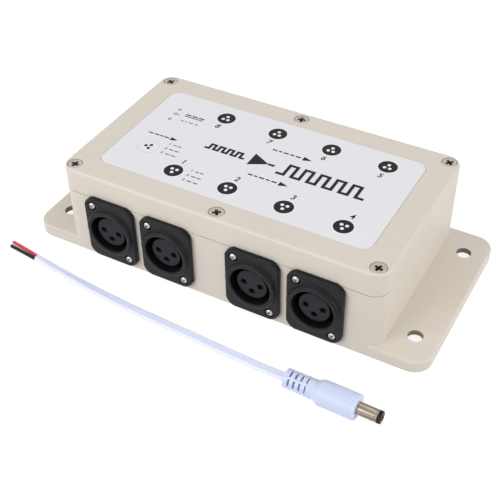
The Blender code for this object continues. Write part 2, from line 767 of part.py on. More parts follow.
def make_jack(black, steel, tin):
    """A round power jack: its body with two solder lugs, its nut inside, and its centre pin."""
    location = on_left_wall(JACK_Y, JACK_HEIGHT)
    floor = JACK_BEZEL_THICKNESS - JACK_BORE_DEPTH
    back = -JACK_BODY_DEPTH
    profile = [
        (0, back),
        (JACK_BODY_RADIUS, back),
        (JACK_BODY_RADIUS, 0),
        (JACK_BEZEL_RADIUS, 0),
        (JACK_BEZEL_RADIUS, JACK_BEZEL_THICKNESS - JACK_EDGE),
        (JACK_BEZEL_RADIUS - JACK_EDGE, JACK_BEZEL_THICKNESS),
        (JACK_BORE_RADIUS, JACK_BEZEL_THICKNESS),
        (JACK_BORE_RADIUS, floor),
        (0, floor),
    ]
    half = JACK_LUG_THICKNESS / 2
    wide = JACK_LUG_WIDTH / 2
    lugs = []
    for x in (-JACK_LUG_SPREAD, JACK_LUG_SPREAD):
        lugs.append(box((x - half, -wide, back - JACK_LUG_LENGTH), (x + half, wide, back + BITE)))
    pin_hole = rod(
        JACK_PIN_RADIUS + SEAT_GAP, back - CUT_PAST, floor + CUT_PAST, sides=SMALL_SIDES
    )
    body = cut(joined(turned(profile), gather(lugs)), pin_hole)
    place("jack_body", smooth(body), black, location, LEFT)
    tip = JACK_BEZEL_THICKNESS - JACK_PIN_SET_BACK
    point = JACK_PIN_RADIUS / 2
    profile = [
        (0, back),
        (JACK_PIN_RADIUS, back),
        (JACK_PIN_RADIUS, tip - point),
        (JACK_PIN_RADIUS - point, tip),
        (0, tip),
    ]
    place("jack_centre_pin", smooth(turned(profile, SMALL_SIDES)), tin, location, LEFT)
    top = -WALL - 2 * SEAT_GAP
    bottom = top - JACK_NUT_THICKNESS
    way = rod(
        JACK_BODY_RADIUS + SEAT_GAP, bottom - CUT_PAST, top + CUT_PAST, sides=RING_SIDES
    )
    nut = cut(prism(circle(JACK_NUT_RADIUS, 6), bottom, top), way)
    place("jack_nut", smooth(nut), steel, location, LEFT)


# Circuit board


def tail_holes():
    """Where the tails go through the board: three for each socket."""
    holes = []
    for _, location, turn in output_places():
        holes += [(facing(location, turn) @ Vector((x, 0, -TAIL_BACK))) for x, _ in CONTACT_PLACES]
    location = on_left_wall(INPUT_Y, INPUT_HEIGHT)
    holes += [(facing(location, LEFT) @ Vector((x, 0, -TAIL_BACK))) for x, _ in CONTACT_PLACES]
    return [(hole.x, hole.y) for hole in holes]


def chip(x, y):
    """An eight-leg chip's body, sunk into the board that it is soldered to."""
    low = (x - CHIP_LENGTH / 2, y - CHIP_WIDTH / 2, BOARD_TOP - SOLDERED)
    high = (x + CHIP_LENGTH / 2, y + CHIP_WIDTH / 2, BOARD_TOP + CHIP_HEIGHT)
    return box(low, high)


def heat_sink():
    """The regulator's plate with its fins."""
    low, high = BOARD_TOP - SOLDERED, BOARD_TOP + SINK_HEIGHT
    left = REGULATOR_X - SINK_WIDTH / 2
    sink = box((left, -SINK_PLATE, low), (left + SINK_WIDTH, 0, high))
    pitch = (SINK_WIDTH - SINK_FIN_THICKNESS) / (SINK_FINS - 1)
    fins = []
    for k in range(SINK_FINS):
        x = left + pitch * k
        reach = -SINK_PLATE - SINK_FIN_REACH
        fins.append(box((x, reach, low), (x + SINK_FIN_THICKNESS, -SINK_PLATE / 2, high)))
    return joined(sink, gather(fins))


def make_board(green, steel):
    """The board with the parts that are soldered to it, and the two screws that hold it."""
    low = (BOARD_LEFT, -BOARD_HALF, BOARD_HEIGHT)
    board = box(low, (BOARD_RIGHT, BOARD_HALF, BOARD_TOP))
    parts = [chip(x + CHIP_SHIFT, side * CHIP_ROW_Y) for x in SOCKET_X for side in (-1, 1)]
    parts.append(chip(RECEIVER_X, RECEIVER_Y))
    foot = BOARD_TOP - SOLDERED
    for x in CAPACITOR_X:
        parts.append(rod(CAPACITOR_RADIUS, foot, BOARD_TOP + CAPACITOR_HEIGHT, (x, 0), SCREW_SIDES))
    half = REGULATOR_WIDTH / 2
    regulator = box(
        (REGULATOR_X - half, -SINK_PLATE / 2, foot),
        (REGULATOR_X + half, REGULATOR_DEPTH, BOARD_TOP + REGULATOR_HEIGHT),
    )
    board = joined(board, gather(parts), joined(heat_sink(), regulator))
    past = BOARD_TOP + CUT_PAST
    holes = [rod(TAIL_RADIUS + SEAT_GAP, 0, past, p, TAIL_SIDES) for p in tail_holes()]
    hole = BOARD_SCREW_RADIUS + SEAT_GAP
    holes += [rod(hole, 0, past, p, SMALL_SIDES) for p in POST_PLACES]
    place("circuit_board", smooth(cut(board, gather(holes))), green)
    seat = BOARD_TOP + SEAT_GAP
    profile = [
        (0, seat - BOARD_SCREW_LENGTH),
        (BOARD_SCREW_RADIUS, seat - BOARD_SCREW_LENGTH),
        (BOARD_SCREW_RADIUS, seat),
        (BOARD_SCREW_HEAD, seat),
        (BOARD_SCREW_HEAD, seat + BOARD_SCREW_HEAD_HEIGHT / 2),
        (BOARD_SCREW_HEAD / 2, seat + BOARD_SCREW_HEAD_HEIGHT),
        (0, seat + BOARD_SCREW_HEAD_HEIGHT),
    ]
    screw = smooth(turned(profile, SMALL_SIDES))
    for name, p in (("board_screw_left", POST_PLACES[1]), ("board_screw_right", POST_PLACES[2])):
        place(name, screw, steel, (*p, 0))


def make_power_wires(red, black):
    """From the jack's two lugs over to the board's left edge and down to it."""
    lug_end = -CASE_LENGTH / 2 + JACK_BODY_DEPTH + JACK_LUG_LENGTH
    for name, finish, side, pad_y in (
        ("power_wire_red", red, 1, WIRE_PAD_Y[1]),
        ("power_wire_black", black, -1, WIRE_PAD_Y[0]),
    ):
        start = Vector((lug_end, JACK_Y + side * JACK_LUG_SPREAD, JACK_HEIGHT))
        end = Vector((WIRE_PAD_X, pad_y, BOARD_TOP + SEAT_GAP))
        out = start + Vector((WIRE_BEND, 0, 0))
        over = Vector((WIRE_PAD_X, pad_y, JACK_HEIGHT - WIRE_BEND))
        path = [start] + [bent(out, over, end, k / WIRE_STEPS) for k in range(WIRE_STEPS + 1)]
        place(name, smooth(swept(path, WIRE_RADIUS), 60), finish)


def bent(start, corner, end, t):
    """A point on the curve that leaves the start towards the corner and turns down to the end."""
    return start * (1 - t) ** 2 + corner * (2 * t * (1 - t)) + end * t * t


# Power lead


def between(before, start, end, after, t):
    """A point on the smooth curve from start to end that heads on from the points around them."""
    slope = end - before
    bow = 2 * before - 5 * start + 4 * end - after
    twist = 3 * start - before - 3 * end + after
    return 0.5 * (2 * start + slope * t + bow * t * t + twist * t**3)


def jacket_points():
    """The lead's centre line at even steps. It rises to the plug's axis at its first point."""
    route = [Vector((x, y, JACKET_RADIUS)) for x, y in JACKET_ROUTE]
    for point, share in zip(route, JACKET_RISE):
        point.z += (GRIP_RADIUS - JACKET_RADIUS) * share
    ends = [route[0] * 2 - route[1], *route, route[-1] * 2 - route[-2]]
    fine = []
    for corners in zip(ends, ends[1:], ends[2:], ends[3:]):
        fine += [between(*corners, k / 12) for k in range(12)]
    fine.append(route[-1])
    lengths = [0.0]
    for here, there in zip(fine, fine[1:]):
        lengths.append(lengths[-1] + (there - here).length)
    points = [fine[0]]
    for k in range(1, JACKET_POINTS - 1):
        want = lengths[-1] * k / (JACKET_POINTS - 1)
        after = next(n for n, length in enumerate(lengths) if length >= want)
        share = (want - lengths[after - 1]) / (lengths[after] - lengths[after - 1])
        points.append(fine[after - 1].lerp(fine[after], share))
    return [*points, fine[-1]]


def make_lead(white, red, black, nickel):
    points = jacket_points()
    line = bpy.data.curves.new("lead_jacket", "CURVE")
    line.dimensions = "3D"
    line.bevel_depth = JACKET_RADIUS
    line.bevel_resolution = 3
    line.use_fill_caps = True
    spline = line.splines.new("POLY")
    spline.points.add(len(points) - 1)
    for point, spot in zip(spline.points, points):
        point.co = (*spot, 1)
    line.materials.append(white)
    bpy.context.scene.collection.objects.link(bpy.data.objects.new("lead_jacket", line))
    make_stripped_end(points, red, black)
    make_plug(points, white, nickel, black)


def make_stripped_end(points, red, black):
    """The two wires beyond the jacket, side by side, each with a short bare end."""
    along = (points[-1] - points[-2]).normalized()
    across = Vector((0, 0, 1)).cross(along)
    drop = Vector((0, 0, CORE_WIRE_RADIUS - JACKET_RADIUS))
    for name, finish, side in (("lead_wire_red", red, -1), ("lead_wire_black", black, 1)):
        start = points[-1] + along * SEAT_GAP + across * (side * CORE_WIRE_SPREAD)
        end = start + along * CORE_WIRE_LENGTH + drop
        wire = swept([start, end], CORE_WIRE_RADIUS, SMALL_SIDES)
        way = (end - start).normalized()
        bare = swept([end - way * BITE, end + way * BARE_END_LENGTH], BARE_END_RADIUS)
        place(name, smooth(joined(wire, bare)), finish)


def make_plug(points, white, nickel, black):
    """The moulded grip with its slotted relief, the metal sleeve and the tip ring."""
    along = Vector((*PLUG_POINTS_AT, points[0].z)) - points[0]
    along.normalize()
    root = Matrix.Translation(points[0] + along * (JACKET_RADIUS * PLUG_BEND + SEAT_GAP))
    stand = root @ along.to_track_quat("Z", "Y").to_matrix().to_4x4()
    length = RELIEF_LENGTH + GRIP_LENGTH
    profile = [
        (0, 0),
        (RELIEF_ROOT_RADIUS, 0),
        (RELIEF_RADIUS, RELIEF_LENGTH),
        (GRIP_RADIUS - GRIP_EDGE, RELIEF_LENGTH + GRIP_SHOULDER),
        (GRIP_RADIUS, RELIEF_LENGTH + GRIP_SHOULDER + GRIP_EDGE),
        (GRIP_RADIUS, length - GRIP_EDGE),
        (GRIP_RADIUS - GRIP_EDGE, length),
        (0, length),
    ]
    slots = []
    half = RELIEF_SLOT_SPAN / 2
    deep = RELIEF_ROOT_RADIUS - RELIEF_SLOT_DEPTH
    for k in range(RELIEF_SLOTS):
        low = RELIEF_SLOT_FIRST + RELIEF_SLOT_PITCH * k
        slot = box((deep, -half, low), (GRIP_RADIUS, half, low + RELIEF_SLOT_WIDTH))
        for rib in (RELIEF_RIB_TURN, RELIEF_RIB_TURN + math.pi):
            slots += [spun(slot, rib + side * RELIEF_SLOT_TURN) for side in (-1, 1)]
    seat = length - PLUG_SLEEVE_SEAT
    hole = PLUG_SLEEVE_RADIUS + SEAT_GAP
    slots.append(rod(hole, seat - SEAT_GAP, length + CUT_PAST, sides=SCREW_SIDES))
    grip = cut(turned(profile), gather(slots))
    place("plug_grip", smooth(shifted(grip, stand)), white)
    tip = length + PLUG_SLEEVE_LENGTH
    profile = [
        (0, seat),
        (PLUG_SLEEVE_RADIUS, seat),
        (PLUG_SLEEVE_RADIUS, tip),
        (PLUG_SLEEVE_BORE, tip),
        (PLUG_SLEEVE_BORE, length),
        (0, length),
    ]
    place("plug_sleeve", smooth(shifted(turned(profile, SCREW_SIDES), stand)), nickel)
    low = tip + SEAT_GAP
    high = tip + PLUG_TIP_LENGTH
    edge = PLUG_TIP_LENGTH / 4
    profile = [
        (PLUG_TIP_BORE, low),
        (PLUG_SLEEVE_RADIUS, low),
        (PLUG_SLEEVE_RADIUS, high - edge),
        (PLUG_SLEEVE_RADIUS - edge, high),
        (PLUG_TIP_BORE, high),
    ]
    place("plug_tip_ring", smooth(shifted(turned(profile, SCREW_SIDES), stand)), black)


def main():
    clear_scene()
    case_plastic = material("case_plastic", (0.72, 0.66, 0.57), 0.45)
    black_plastic = material("black_plastic", (0.012, 0.012, 0.014), 0.4)
    insert_plastic = material("insert_plastic", (0.018, 0.018, 0.021), 0.5)
    label_film = material("label_film", (0.80, 0.80, 0.86), 0.35)
    seal_rubber = material("seal_rubber", (0.02, 0.02, 0.02), 0.8)
    screw_steel = material("screw_steel", (0.55, 0.53, 0.51), 0.3, 1.0)
    bright_steel = material("bright_steel", (0.75, 0.75, 0.75), 0.18, 1.0)
    contact_metal = material("contact_metal", (0.80, 0.65, 0.35), 0.3, 1.0)
    board_green = material("board_green", (0.02, 0.14, 0.05), 0.4)
    lead_white = material("lead_white", (0.74, 0.78, 0.95), 0.35)
    wire_red = material("wire_red", (0.60, 0.03, 0.04), 0.4)
    wire_black = material("wire_black", (0.015, 0.013, 0.013), 0.4)
    plug_nickel = material("plug_nickel", (0.62, 0.56, 0.48), 0.22, 1.0)

    make_base(case_plastic)
    make_lid(case_plastic)
    make_seal(seal_rubber)
    make_label(label_film)
    make_lid_screws(screw_steel)
    make_outputs(black_plastic, insert_plastic, bright_steel)
    make_input(black_plastic, insert_plastic, bright_steel)
    make_jack(black_plastic, bright_steel, contact_metal)
    make_board(board_green, screw_steel)
    make_power_wires(wire_red, wire_black)
    make_lead(lead_white, wire_red, wire_black, plug_nickel)


main()
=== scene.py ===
# %% [markdown]
# # Dressing a stage lighting signal amplifier
#
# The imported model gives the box, its lid, eight output sockets, one input socket, a power jack, a
# circuit board and a loose power lead as plain solids in one shared frame. This lesson puts the
# finished pieces over them: finer edges, moulded plastic, plated screws, a printed label and a
# flat two-core lead. Everything is in metres. The box's length runs along X, outputs 1 to 4 face
# -Y, and +Z goes up through the lid.

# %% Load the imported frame
import math

import bmesh
import bpy
from mathutils import Matrix, Vector


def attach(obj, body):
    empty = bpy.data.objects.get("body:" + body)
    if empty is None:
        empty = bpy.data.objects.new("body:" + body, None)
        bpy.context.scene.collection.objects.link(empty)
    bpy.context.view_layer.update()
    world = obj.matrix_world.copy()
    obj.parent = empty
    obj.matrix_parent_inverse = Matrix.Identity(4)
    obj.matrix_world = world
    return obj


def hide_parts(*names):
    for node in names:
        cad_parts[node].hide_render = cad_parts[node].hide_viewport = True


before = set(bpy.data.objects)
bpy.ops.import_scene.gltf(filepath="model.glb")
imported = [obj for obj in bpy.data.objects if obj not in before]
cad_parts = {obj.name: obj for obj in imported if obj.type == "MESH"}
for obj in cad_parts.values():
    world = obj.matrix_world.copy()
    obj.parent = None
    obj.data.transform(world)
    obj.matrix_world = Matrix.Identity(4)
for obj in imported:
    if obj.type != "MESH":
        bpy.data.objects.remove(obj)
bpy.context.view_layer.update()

# %% [markdown]
# ## The camera
#
# A product photograph is taken with a long lens from a little distance, so that lines stay nearly
# parallel. A camera can be aimed by angles, but here its place and its two directions are known
# from fitting them to the box's corners, so they go straight into its matrix. The columns of that
# matrix are the camera's right, its up and the way behind it.

# %% Make the camera
CAMERA_PLACE = Vector((0.16613, -0.30358, 0.29554))
CAMERA_LOOKS = Vector((-0.37308, 0.65513, -0.65697))
CAMERA_UP = Vector((-0.31078, 0.57895, 0.75381))
LENS_MM = 68.33
SENSOR_MM = 36
NEAREST_SEEN = 0.01

scene = bpy.context.scene
camera = bpy.data.objects.new("camera", bpy.data.cameras.new("camera"))
scene.collection.objects.link(camera)
camera.data.sensor_fit = "HORIZONTAL"
camera.data.sensor_width = SENSOR_MM
camera.data.lens = LENS_MM
camera.data.clip_start = NEAREST_SEEN
right = CAMERA_LOOKS.cross(CAMERA_UP).normalized()
turn = Matrix((right, CAMERA_UP.normalized(), -CAMERA_LOOKS.normalized())).transposed()
camera.matrix_world = Matrix.Translation(CAMERA_PLACE) @ turn.to_4x4()
scene.camera = camera
print("camera looks down by", round(math.degrees(math.asin(-CAMERA_LOOKS.z)), 1), "degrees")

# %% [markdown]
# ## Finishes
#
# A moulding is never one flat colour. Its pigment drifts a little, the mould leaves a fine grain,
# and its gloss changes from place to place. All of that could be painted into pictures, but noise
# in the object's own space needs no picture and keeps its scale in millimetres, so each finish
# here is a small tree of nodes. The numbers that are the same all over are set on the shader.


# %% Nodes that every finish shares
def start_finish(name):
    """A material with its shader, its tree and the object's own space."""
    made = bpy.data.materials.new(name)
    made.use_nodes = True
    tree = made.node_tree
    shader = tree.nodes["Principled BSDF"]
    space = tree.nodes.new("ShaderNodeTexCoord").outputs["Object"]
    return made, tree, shader, space


def noise(tree, space, size, detail=3.0, roughness=0.5):
    """Noise whose blobs are about size metres across."""
    node = tree.nodes.new("ShaderNodeTexNoise")
    node.inputs["Scale"].default_value = 1 / size
    node.inputs["Detail"].default_value = detail
    node.inputs["Roughness"].default_value = roughness
    tree.links.new(space, node.inputs["Vector"])
    return node.outputs["Fac"]


def between_two(tree, amount, low, high):
    """Maps noise, which keeps near its middle, to a range of numbers."""
    node = tree.nodes.new("ShaderNodeMapRange")
    node.inputs["From Min"].default_value = 0.3
    node.inputs["From Max"].default_value = 0.7
    node.inputs["To Min"].default_value = low
    node.inputs["To Max"].default_value = high
    tree.links.new(amount, node.inputs["Value"])
    return node.outputs["Result"]


def two_tones(tree, amount, dark, light):
    """Mixes two colours by an amount from 0 to 1."""
    node = tree.nodes.new("ShaderNodeMix")
    node.data_type = "RGBA"
    node.inputs["A"].default_value = (*dark, 1)
    node.inputs["B"].default_value = (*light, 1)
    tree.links.new(amount, node.inputs["Factor"])
    return node.outputs["Result"]


def raise_grain(tree, shader, height, depth, strength=0.5):
    """Turns a height pattern into bumps that are depth metres deep."""
    node = tree.nodes.new("ShaderNodeBump")
    node.inputs["Strength"].default_value = strength
    node.inputs["Distance"].default_value = depth
    tree.links.new(height, node.inputs["Height"])
    tree.links.new(node.outputs["Normal"], shader.inputs["Normal"])


def shade(colour, by):
    return tuple(c * by for c in colour)


# %% Finishes for plastic
SOFT_REACH = 0.0012
TONE_PATCH = 0.03
GLOSS_PATCH = 0.006


def plastic(name, colour, drift, gloss, grain_size, grain_depth, shine=0.5, soft=0.0):
    """A moulded or painted surface. gloss is the roughness's range, drift the tone's share.

    soft is the share of its light that spreads a little way under the surface.
    """
    made, tree, shader, space = start_finish(name)
    broad = between_two(tree, noise(tree, space, TONE_PATCH), 0, 1)
    tone = two_tones(tree, broad, shade(colour, 1 - drift), shade(colour, 1 + drift))
    tree.links.new(tone, shader.inputs["Base Color"])
    patches = noise(tree, space, GLOSS_PATCH, 4)
    tree.links.new(between_two(tree, patches, *gloss), shader.inputs["Roughness"])
    raise_grain(tree, shader, noise(tree, space, grain_size, 2), grain_depth)
    shader.inputs["Specular IOR Level"].default_value = shine
    shader.inputs["Subsurface Weight"].default_value = soft
    shader.inputs["Subsurface Radius"].default_value = (1, 1, 1)
    shader.inputs["Subsurface Scale"].default_value = SOFT_REACH
    return made


case_moulding = plastic("case_moulding", (0.715, 0.655, 0.575), 0.012, (0.42, 0.52), 0.0005, 3e-5)
label_film = plastic("label_film", (0.82, 0.81, 0.855), 0.006, (0.32, 0.40), 0.0008, 1e-5)
label_ink = plastic("label_ink", (0.010, 0.0095, 0.012), 0.06, (0.50, 0.6), 0.0004, 1e-5, 0.2)
faint_ink = plastic("faint_ink", (0.60, 0.59, 0.61), 0.05, (0.40, 0.5), 0.0004, 1e-5)
dot_white = plastic("dot_white", (0.93, 0.93, 0.94), 0.01, (0.35, 0.45), 0.0004, 1e-5)
# A darker plastic for the walls of the ears' holes: painted shade
ear_bore_painted_shade = plastic("ear_bore_painted_shade", (0.27, 0.235, 0.185), 0.05, (0.5, 0.6), 0.0005, 3e-5)
seal_rubber = plastic("seal_rubber", (0.02, 0.02, 0.02), 0.1, (0.7, 0.85), 0.0003, 4e-5)
socket_black = plastic("socket_black", (0.0075, 0.0075, 0.0095), 0.08, (0.34, 0.44), 0.00035, 1.5e-5, 0.22)
insert_black = plastic("insert_black", (0.014, 0.014, 0.018), 0.08, (0.45, 0.58), 0.00035, 2e-5, 0.22)
grip_white = plastic("grip_white", (0.665, 0.725, 0.945), 0.01, (0.30, 0.40), 0.0012, 2e-5, soft=0.8)
jacket_white_glow = plastic("jacket_white_glow", (0.75, 0.775, 0.93), 0.01, (0.40, 0.50), 0.0012, 1e-5, soft=0.6)
# The jacket glows a little blue light of its own: painted light that lifts its shaded faces
jacket_glow_shader = jacket_white_glow.node_tree.nodes["Principled BSDF"]
jacket_glow_shader.inputs["Emission Color"].default_value = (0.58, 0.64, 1.0, 1)
jacket_glow_shader.inputs["Emission Strength"].default_value = 0.14
red_sleeve = plastic("red_sleeve", (0.68, 0.045, 0.07), 0.06, (0.32, 0.42), 0.0006, 2e-5)
black_sleeve = plastic("black_sleeve", (0.008, 0.006, 0.006), 0.1, (0.32, 0.42), 0.0006, 2e-5, 0.25)
chip_epoxy = plastic("chip_epoxy", (0.018, 0.018, 0.019), 0.1, (0.55, 0.7), 0.0002, 2e-5)
can_sleeve = plastic("can_sleeve", (0.015, 0.02, 0.045), 0.1, (0.3, 0.4), 0.0008, 1e-5)
print("plastic finishes:", len(bpy.data.materials))


# %% Finishes for metal
SCRATCH_SIZE = 0.0006
SCRATCH_DEPTH = 6e-6


def metal(name, colour, gloss, streak=(1, 1, 1), darkest_share=0.86, band=0.002):
    """Plated or bare metal. streak stretches its scratches, and dull is its darkest band's share."""
    made, tree, shader, space = start_finish(name)
    stretch = tree.nodes.new("ShaderNodeMapping")
    stretch.inputs["Scale"].default_value = streak
    tree.links.new(space, stretch.inputs["Vector"])
    drawn = noise(tree, stretch.outputs["Vector"], SCRATCH_SIZE, 4, 0.6)
    # Bands of tone along the streak: a random drift, and on the plug's barrel painted reflections
    tone_and_reflection_bands = between_two(tree, noise(tree, stretch.outputs["Vector"], band), 0, 1)
    tree.links.new(two_tones(tree, tone_and_reflection_bands, shade(colour, darkest_share), colour), shader.inputs["Base Color"])
    tree.links.new(between_two(tree, drawn, *gloss), shader.inputs["Roughness"])
    raise_grain(tree, shader, drawn, SCRATCH_DEPTH, 0.4)
    shader.inputs["Metallic"].default_value = 1.0
    return made


lid_screw_steel = metal("lid_screw_steel", (0.60, 0.555, 0.51), (0.30, 0.44), (1, 3, 1), 0.7)
bright_steel = metal("bright_steel", (0.66, 0.65, 0.63), (0.14, 0.26), darkest_share=0.6, band=0.0009)
contact_brass = metal("contact_brass", (0.70, 0.55, 0.30), (0.22, 0.34), (1, 1, 0.2))
# A dark steel for the lid screws' cross recesses: painted shade
recess_painted_shade = metal("recess_painted_shade", (0.16, 0.145, 0.13), (0.5, 0.6))
tinned = metal("tinned", (0.78, 0.77, 0.75), (0.25, 0.45))
# The barrel's strong dark bands along its length are painted reflections of dark surroundings
plug_nickel = metal("plug_nickel", (0.60, 0.51, 0.42), (0.14, 0.26), (1, 1, 0.04), 0.16, 0.0009)
sink_aluminium = metal("sink_aluminium", (0.72, 0.73, 0.74), (0.35, 0.5), (0.3, 6, 6))
print("all finishes:", len(bpy.data.materials))

# %% [markdown]
# ## Shapes
#
# Nearly everything on this object is either pressed from an outline or turned on a lathe. A
# modeller could start from Blender's cubes and cylinders and bevel them, but a bevel after a
# Boolean often tears. Here the rounding is drawn first, in the outline or in the lathe's profile,
# and only then lofted or turned. Booleans cut the holes last.

# %% Outlines and profiles
ARC_STEPS = 5
# A rounded corner takes at most this share of each side next to it
MOST_OF_SIDE = 0.49


def bend(start, knee, end, steps):
    """Points of the smooth bend from start to end that heads for the knee between them."""
    points = []
    for step in range(steps + 1):
        t = step / steps
        points.append(start * (1 - t) ** 2 + knee * (2 * t * (1 - t)) + end * t * t)
    return points


def rounded(points, radius, steps=ARC_STEPS):
    """A closed outline with its corners rounded. A point may carry a radius of its own."""
    made = []
    for k, point in enumerate(points):
        here = Vector(point[:2])
        want = point[2] if len(point) > 2 else radius
        back = Vector(points[k - 1][:2]) - here
        ahead = Vector(points[(k + 1) % len(points)][:2]) - here
        if want <= 0 or not back.length or not ahead.length:
            made.append(tuple(here))
            continue
        half = back.angle(ahead) / 2
        longest = min(back.length, ahead.length) * MOST_OF_SIDE
        run = min(want / max(math.tan(half), 1e-6), longest)
        start, end = here + back.normalized() * run, here + ahead.normalized() * run
        made += [tuple(p) for p in bend(start, here, end, steps)]
    return made


def corner_outline(length, width, radius, steps=12, flat=0.0):
    """A rectangle with round corners, anticlockwise. flat presses each arc towards its chord."""
    made = []
    for quarter, (sx, sy) in enumerate(((1, 1), (-1, 1), (-1, -1), (1, -1))):
        centre = Vector((sx * (length / 2 - radius), sy * (width / 2 - radius)))
        first = math.pi / 2 * quarter
        a, b = [Vector((math.cos(first + s), math.sin(first + s))) * radius for s in (0, math.pi / 2)]
        for k in range(steps + 1):
            t = k / steps
            swing = first + math.pi / 2 * t
            arc = Vector((math.cos(swing), math.sin(swing))) * radius
            made.append(tuple(centre + arc.lerp(a.lerp(b, t), flat)))
    return made


def drawn_in(length, width, corner, least=0.0, steps=12, flat=0.0):
    """A function of an inset: it gives a round-cornered rectangle that is smaller by it all round."""

    def outline(inset=0.0):
        radius = max(corner - inset, least)
        return corner_outline(length - 2 * inset, width - 2 * inset, radius, steps, flat)

    return outline


def circle(radius, sides=48, centre=(0, 0)):
    steps = [2 * math.pi * (k + 0.5) / sides for k in range(sides)]
    return [(centre[0] + radius * math.cos(a), centre[1] + radius * math.sin(a)) for a in steps]


# %% Solids from outlines and profiles
def finish_mesh(bm):
    bmesh.ops.recalc_face_normals(bm, faces=bm.faces)
    mesh = bpy.data.meshes.new("solid")
    bm.to_mesh(mesh)
    bm.free()
    return mesh


def skinned(bm, rings):
    """Closes a stack of rings with faces from each to the next, and one at each end."""
    for low, high in zip(rings, rings[1:]):
        for k in range(len(low)):
            n = (k + 1) % len(low)
            bm.faces.new((low[k], low[n], high[n], high[k]))
    bm.faces.new(list(reversed(rings[0])))
    bm.faces.new(rings[-1])
    return finish_mesh(bm)


def loft(levels):
    """A closed solid through (outline, height) levels, from bottom to top."""
    bm = bmesh.new()
    return skinned(bm, [[bm.verts.new((x, y, z)) for x, y in outline] for outline, z in levels])


def prism(outline, bottom, top):
    return loft([(outline, bottom), (outline, top)])


def box(low, high):
    corners = ((low[0], low[1]), (high[0], low[1]), (high[0], high[1]), (low[0], high[1]))
    return prism(corners, low[2], high[2])


def rod(radius, bottom, top, centre=(0, 0), sides=32):
    return prism(circle(radius, sides, centre), bottom, top)


def turned(profile, sides=64):
    """A solid turned about Z from a closed profile of (radius, height) points."""
    bm = bmesh.new()
    rings = []
    for radius, height in profile:
        outline = circle(radius, sides) if radius > 1e-7 else [(0, 0)]
        rings.append([bm.verts.new((x, y, height)) for x, y in outline])
    for here, there in zip(rings, rings[1:] + rings[:1]):
        if len(here) == len(there) == 1:
            continue
        for k in range(sides):
            n = (k + 1) % sides
            corners = [here[k % len(here)], here[n % len(here)]]
            corners += [there[n % len(there)], there[k % len(there)]]
            bm.faces.new(list(dict.fromkeys(corners)))
    return finish_mesh(bm)


def soft_turned(profile, corner, sides=64, steps=ARC_STEPS):
    """A turned solid whose profile's corners are rounded first."""
    return turned(rounded(profile, corner, steps), sides)


def tube(inner, outer, bottom, top, sides):
    return turned(((inner, bottom), (outer, bottom), (outer, top), (inner, top)), sides)


def pad_levels(outline_at, bottom, top, bottom_round, top_round, steps=4):
    """Levels for loft whose lower and upper edges are rounded. outline_at(inset) gives an outline."""
    low, high = [], []
    for k in range(steps + 1):
        a = math.pi / 2 * k / steps
        rise, fall = math.sin(a), 1 - math.cos(a)
        low.append((outline_at(bottom_round * (1 - rise)), bottom + bottom_round * fall))
        high.append((outline_at(top_round * fall), top - top_round + top_round * rise))
    return low + high


# %% Moving, gathering and cutting
# A cutter runs past the face that it opens by this much
PAST = 0.002
# A piece that is joined to another starts this far inside it
INSIDE = 0.001
# What is closer than this counts as touching
NEAR = 0.0001


def spot(x, y, z=0.0):
    return Matrix.Translation((x, y, z))


def turn_about(axis, angle=math.pi / 2):
    """A turn, which is a quarter unless an angle is given."""
    return Matrix.Rotation(angle, 4, axis)


def shifted(mesh, matrix):
    copy = mesh.copy()
    copy.transform(matrix)
    return copy


def moved(mesh, x=0.0, y=0.0, z=0.0):
    return shifted(mesh, spot(x, y, z))


def spun(mesh, angle):
    return shifted(mesh, turn_about("Z", angle))


def gather(meshes):
    bm = bmesh.new()
    for mesh in meshes:
        bm.from_mesh(mesh)
    made = bpy.data.meshes.new("group")
    bm.to_mesh(made)
    bm.free()
    return made


def combined(mesh, others, operation):
    """The mesh after an exact Boolean with each of the others in turn."""
    body = bpy.data.objects.new("body", mesh)
    scene.collection.objects.link(body)
    tools = []
    for other in others:
        tool = bpy.data.objects.new("tool", other)
        scene.collection.objects.link(tool)
        step = body.modifiers.new("step", "BOOLEAN")
        step.operation, step.solver, step.object = operation, "EXACT", tool
        tools.append(tool)
    bpy.context.view_layer.update()
    depsgraph = bpy.context.evaluated_depsgraph_get()
    made = bpy.data.meshes.new_from_object(body.evaluated_get(depsgraph))
    for obj in [body, *tools]:
        bpy.data.objects.remove(obj)
    made.materials.clear()
    return made


def joined(mesh, *others):
    return combined(mesh, others, "UNION")


def cut(mesh, *others):
    return combined(mesh, others, "DIFFERENCE")


def kept(mesh, *others):
    return combined(mesh, others, "INTERSECT")


# %% Put a piece in the scene
def show(name, mesh, finish, body, stands_for=(), at=None, sharp=32):
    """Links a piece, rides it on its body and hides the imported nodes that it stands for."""
    if not mesh.materials:
        mesh.materials.append(finish)
        mesh.shade_smooth()
        mesh.set_sharp_from_angle(angle=math.radians(sharp))
    obj = bpy.data.objects.new(name, mesh)
    scene.collection.objects.link(obj)
    if at is not None:
        obj.matrix_world = at
    even = obj.modifiers.new("even_shading", "WEIGHTED_NORMAL")
    even.keep_sharp = True
    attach(obj, body)
    if stands_for:
        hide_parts(*stands_for)
    return obj


def second_finish(mesh, finish, chosen):
    """Gives the faces that chosen picks a finish of their own, and counts them."""
    mesh.materials.append(finish)
    faces = [face for face in mesh.polygons if chosen(face)]
    for face in faces:
        face.material_index = len(mesh.materials) - 1
    return len(faces)


# %% [markdown]
# ## The loose lead
#
# The lead is a flat two-core cable, 4.4 mm wide and 2 mm thick, that lies on the table in front
# of the box. A Blender curve with a round bevel would be quick, but the real jacket has two flat
# faces, each a hair lower between the cores, and round edges, so its section is swept along the
# route as a mesh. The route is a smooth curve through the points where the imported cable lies,
# lowered to rest on its flat side.

